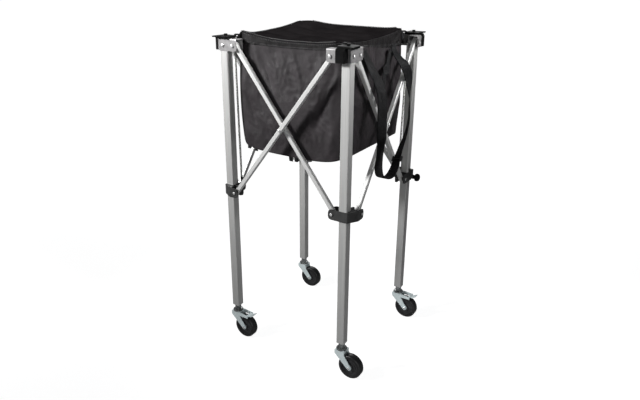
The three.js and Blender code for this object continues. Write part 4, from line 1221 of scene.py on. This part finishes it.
least_width = 0.01
cut_away = corner_cut ** 2
panels = [(floor_right, floor_reach, floor_reach, cut_away, []),
          (floor_left, floor_reach, floor_reach, cut_away, []),
          (lid_right, seam_start, lid_reach, cut_away, [lid_zips["lid_right"]]),
          (lid_left, lid_reach, lid_reach, cut_away, [lid_zips["lid_left"]]),
          (lid_strip, hinge_line - seam_start, hinge_reach, 0, [])]
for piece, width, reach, corners_off, trim in panels:
    for part in (piece, *trim):
        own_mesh(part)
    max(width, least_width)
    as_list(trim)

for piece in (strap, strap_tail_and_painted_shade, slide):
    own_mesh(piece)
for corner, loop in loops.items():
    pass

# %% [markdown]
# ## Studio
# The cart stands on a white floor. One small strong lamp stands at the left and high up: near the cart's
# top it is close, so its light fades down the legs, and its edge is sharp enough to throw the links'
# shadows on the bag. Weaker lamps fill the other sides. The white of the floor and the world is shown to
# the camera only. Every other ray meets a dim world and a grey floor, so the white adds no light to the
# object, and the floor still takes its shadow.

# %% Studio
scene = bpy.context.scene
scene.view_settings.view_transform = "Standard"


def seen_by_camera(owner, hidden, shown, output_node):
    """Shows one shader to the camera, and another to every other ray."""
    chosen = node(owner, "ShaderNodeMixShader")
    join(owner, node(owner, "ShaderNodeLightPath").outputs["Is Camera Ray"], chosen.inputs["Fac"])
    join(owner, hidden, chosen.inputs[1])
    join(owner, shown, chosen.inputs[2])
    join(owner, chosen.outputs[0], owner.node_tree.nodes[output_node].inputs["Surface"])


world = bpy.data.worlds.new("studio")
scene.world = world
world.use_nodes = True
background = world.node_tree.nodes["Background"]
background.inputs["Color"].default_value = (0.95, 0.97, 1.0, 1)
background.inputs["Strength"].default_value = 0.12
white = node(world, "ShaderNodeBackground")
white.inputs["Color"].default_value = (1, 1, 1, 1)
seen_by_camera(world, background.outputs[0], white.outputs[0], "World Output")

floor_finish = new_finish("white_floor", (0.5, 0.5, 0.5), 0.9, specular=0.1)
floor_shader = shader_of(floor_finish)
from_middle = node(floor_finish, "ShaderNodeVectorMath", operation="DISTANCE")
from_middle.inputs[1].default_value = place(0, 0, 0)
join(floor_finish, node(floor_finish, "ShaderNodeNewGeometry").outputs["Position"], from_middle.inputs[0])
rising = node(floor_finish, "ShaderNodeMapRange")
rising.inputs["From Min"].default_value = 0.5
rising.inputs["From Max"].default_value = 3.0
rising.inputs["To Min"].default_value = 0.88
rising.inputs["To Max"].default_value = 0.97
join(floor_finish, from_middle.outputs["Value"], rising.inputs["Value"])
glow = node(floor_finish, "ShaderNodeEmission")
join(floor_finish, rising.outputs["Result"], glow.inputs["Strength"])
added = node(floor_finish, "ShaderNodeAddShader")
join(floor_finish, floor_shader.outputs[0], added.inputs[0])
join(floor_finish, glow.outputs[0], added.inputs[1])
seen_by_camera(floor_finish, floor_shader.outputs[0], added.outputs[0], "Material Output")
floor_mesh = bpy.data.meshes.new("studio_floor")
floor_size = 30
floor_corners = [(floor_size * x, floor_size * y, 0) for x, y in ((-1, -1), (1, -1), (1, 1), (-1, 1))]
floor_mesh.from_pydata(floor_corners, [], [(0, 1, 2, 3)])
floor_mesh.materials.append(floor_finish)
studio_floor = bpy.data.objects.new("studio_floor", floor_mesh)
scene.collection.objects.link(studio_floor)
studio_floor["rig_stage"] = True


def softbox(name, spot, target, size, power, spread_angle):
    lamp = bpy.data.lights.new(name, "AREA")
    lamp.shape = "DISK"
    lamp.size = size
    lamp.energy = power
    lamp.spread = math.radians(spread_angle)
    lamp_object = bpy.data.objects.new(name, lamp)
    scene.collection.objects.link(lamp_object)
    lamp_object.location = place(*spot)
    lamp_object.rotation_euler = (place(*target) - lamp_object.location).to_track_quat("-Z", "Y").to_euler()


softbox("key_light", (-1.5, -1.7, 1.75), (0, 0, 1.35), 0.5, 23, 70)
softbox("fill_light", (1.5, 0.1, 1.9), (0, 0, 1.38), 0.8, 9.5, 47)
softbox("low_light", (1.1, -1.9, 0.45), (0, 0, 0.2), 0.9, 2.0, 80)
softbox("back_light", (-1.2, 2.0, 1.6), (0, 0, 0.8), 1.4, 5, 120)
print("studio made")

# %% [markdown]
# ## Size
# The looks must not make the object bigger than the CAD says, so the box of everything shown is printed.

# %% Print the size of everything shown
low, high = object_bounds()
print("visual box:", [round(v, 4) for v in low], [round(v, 4) for v in high])
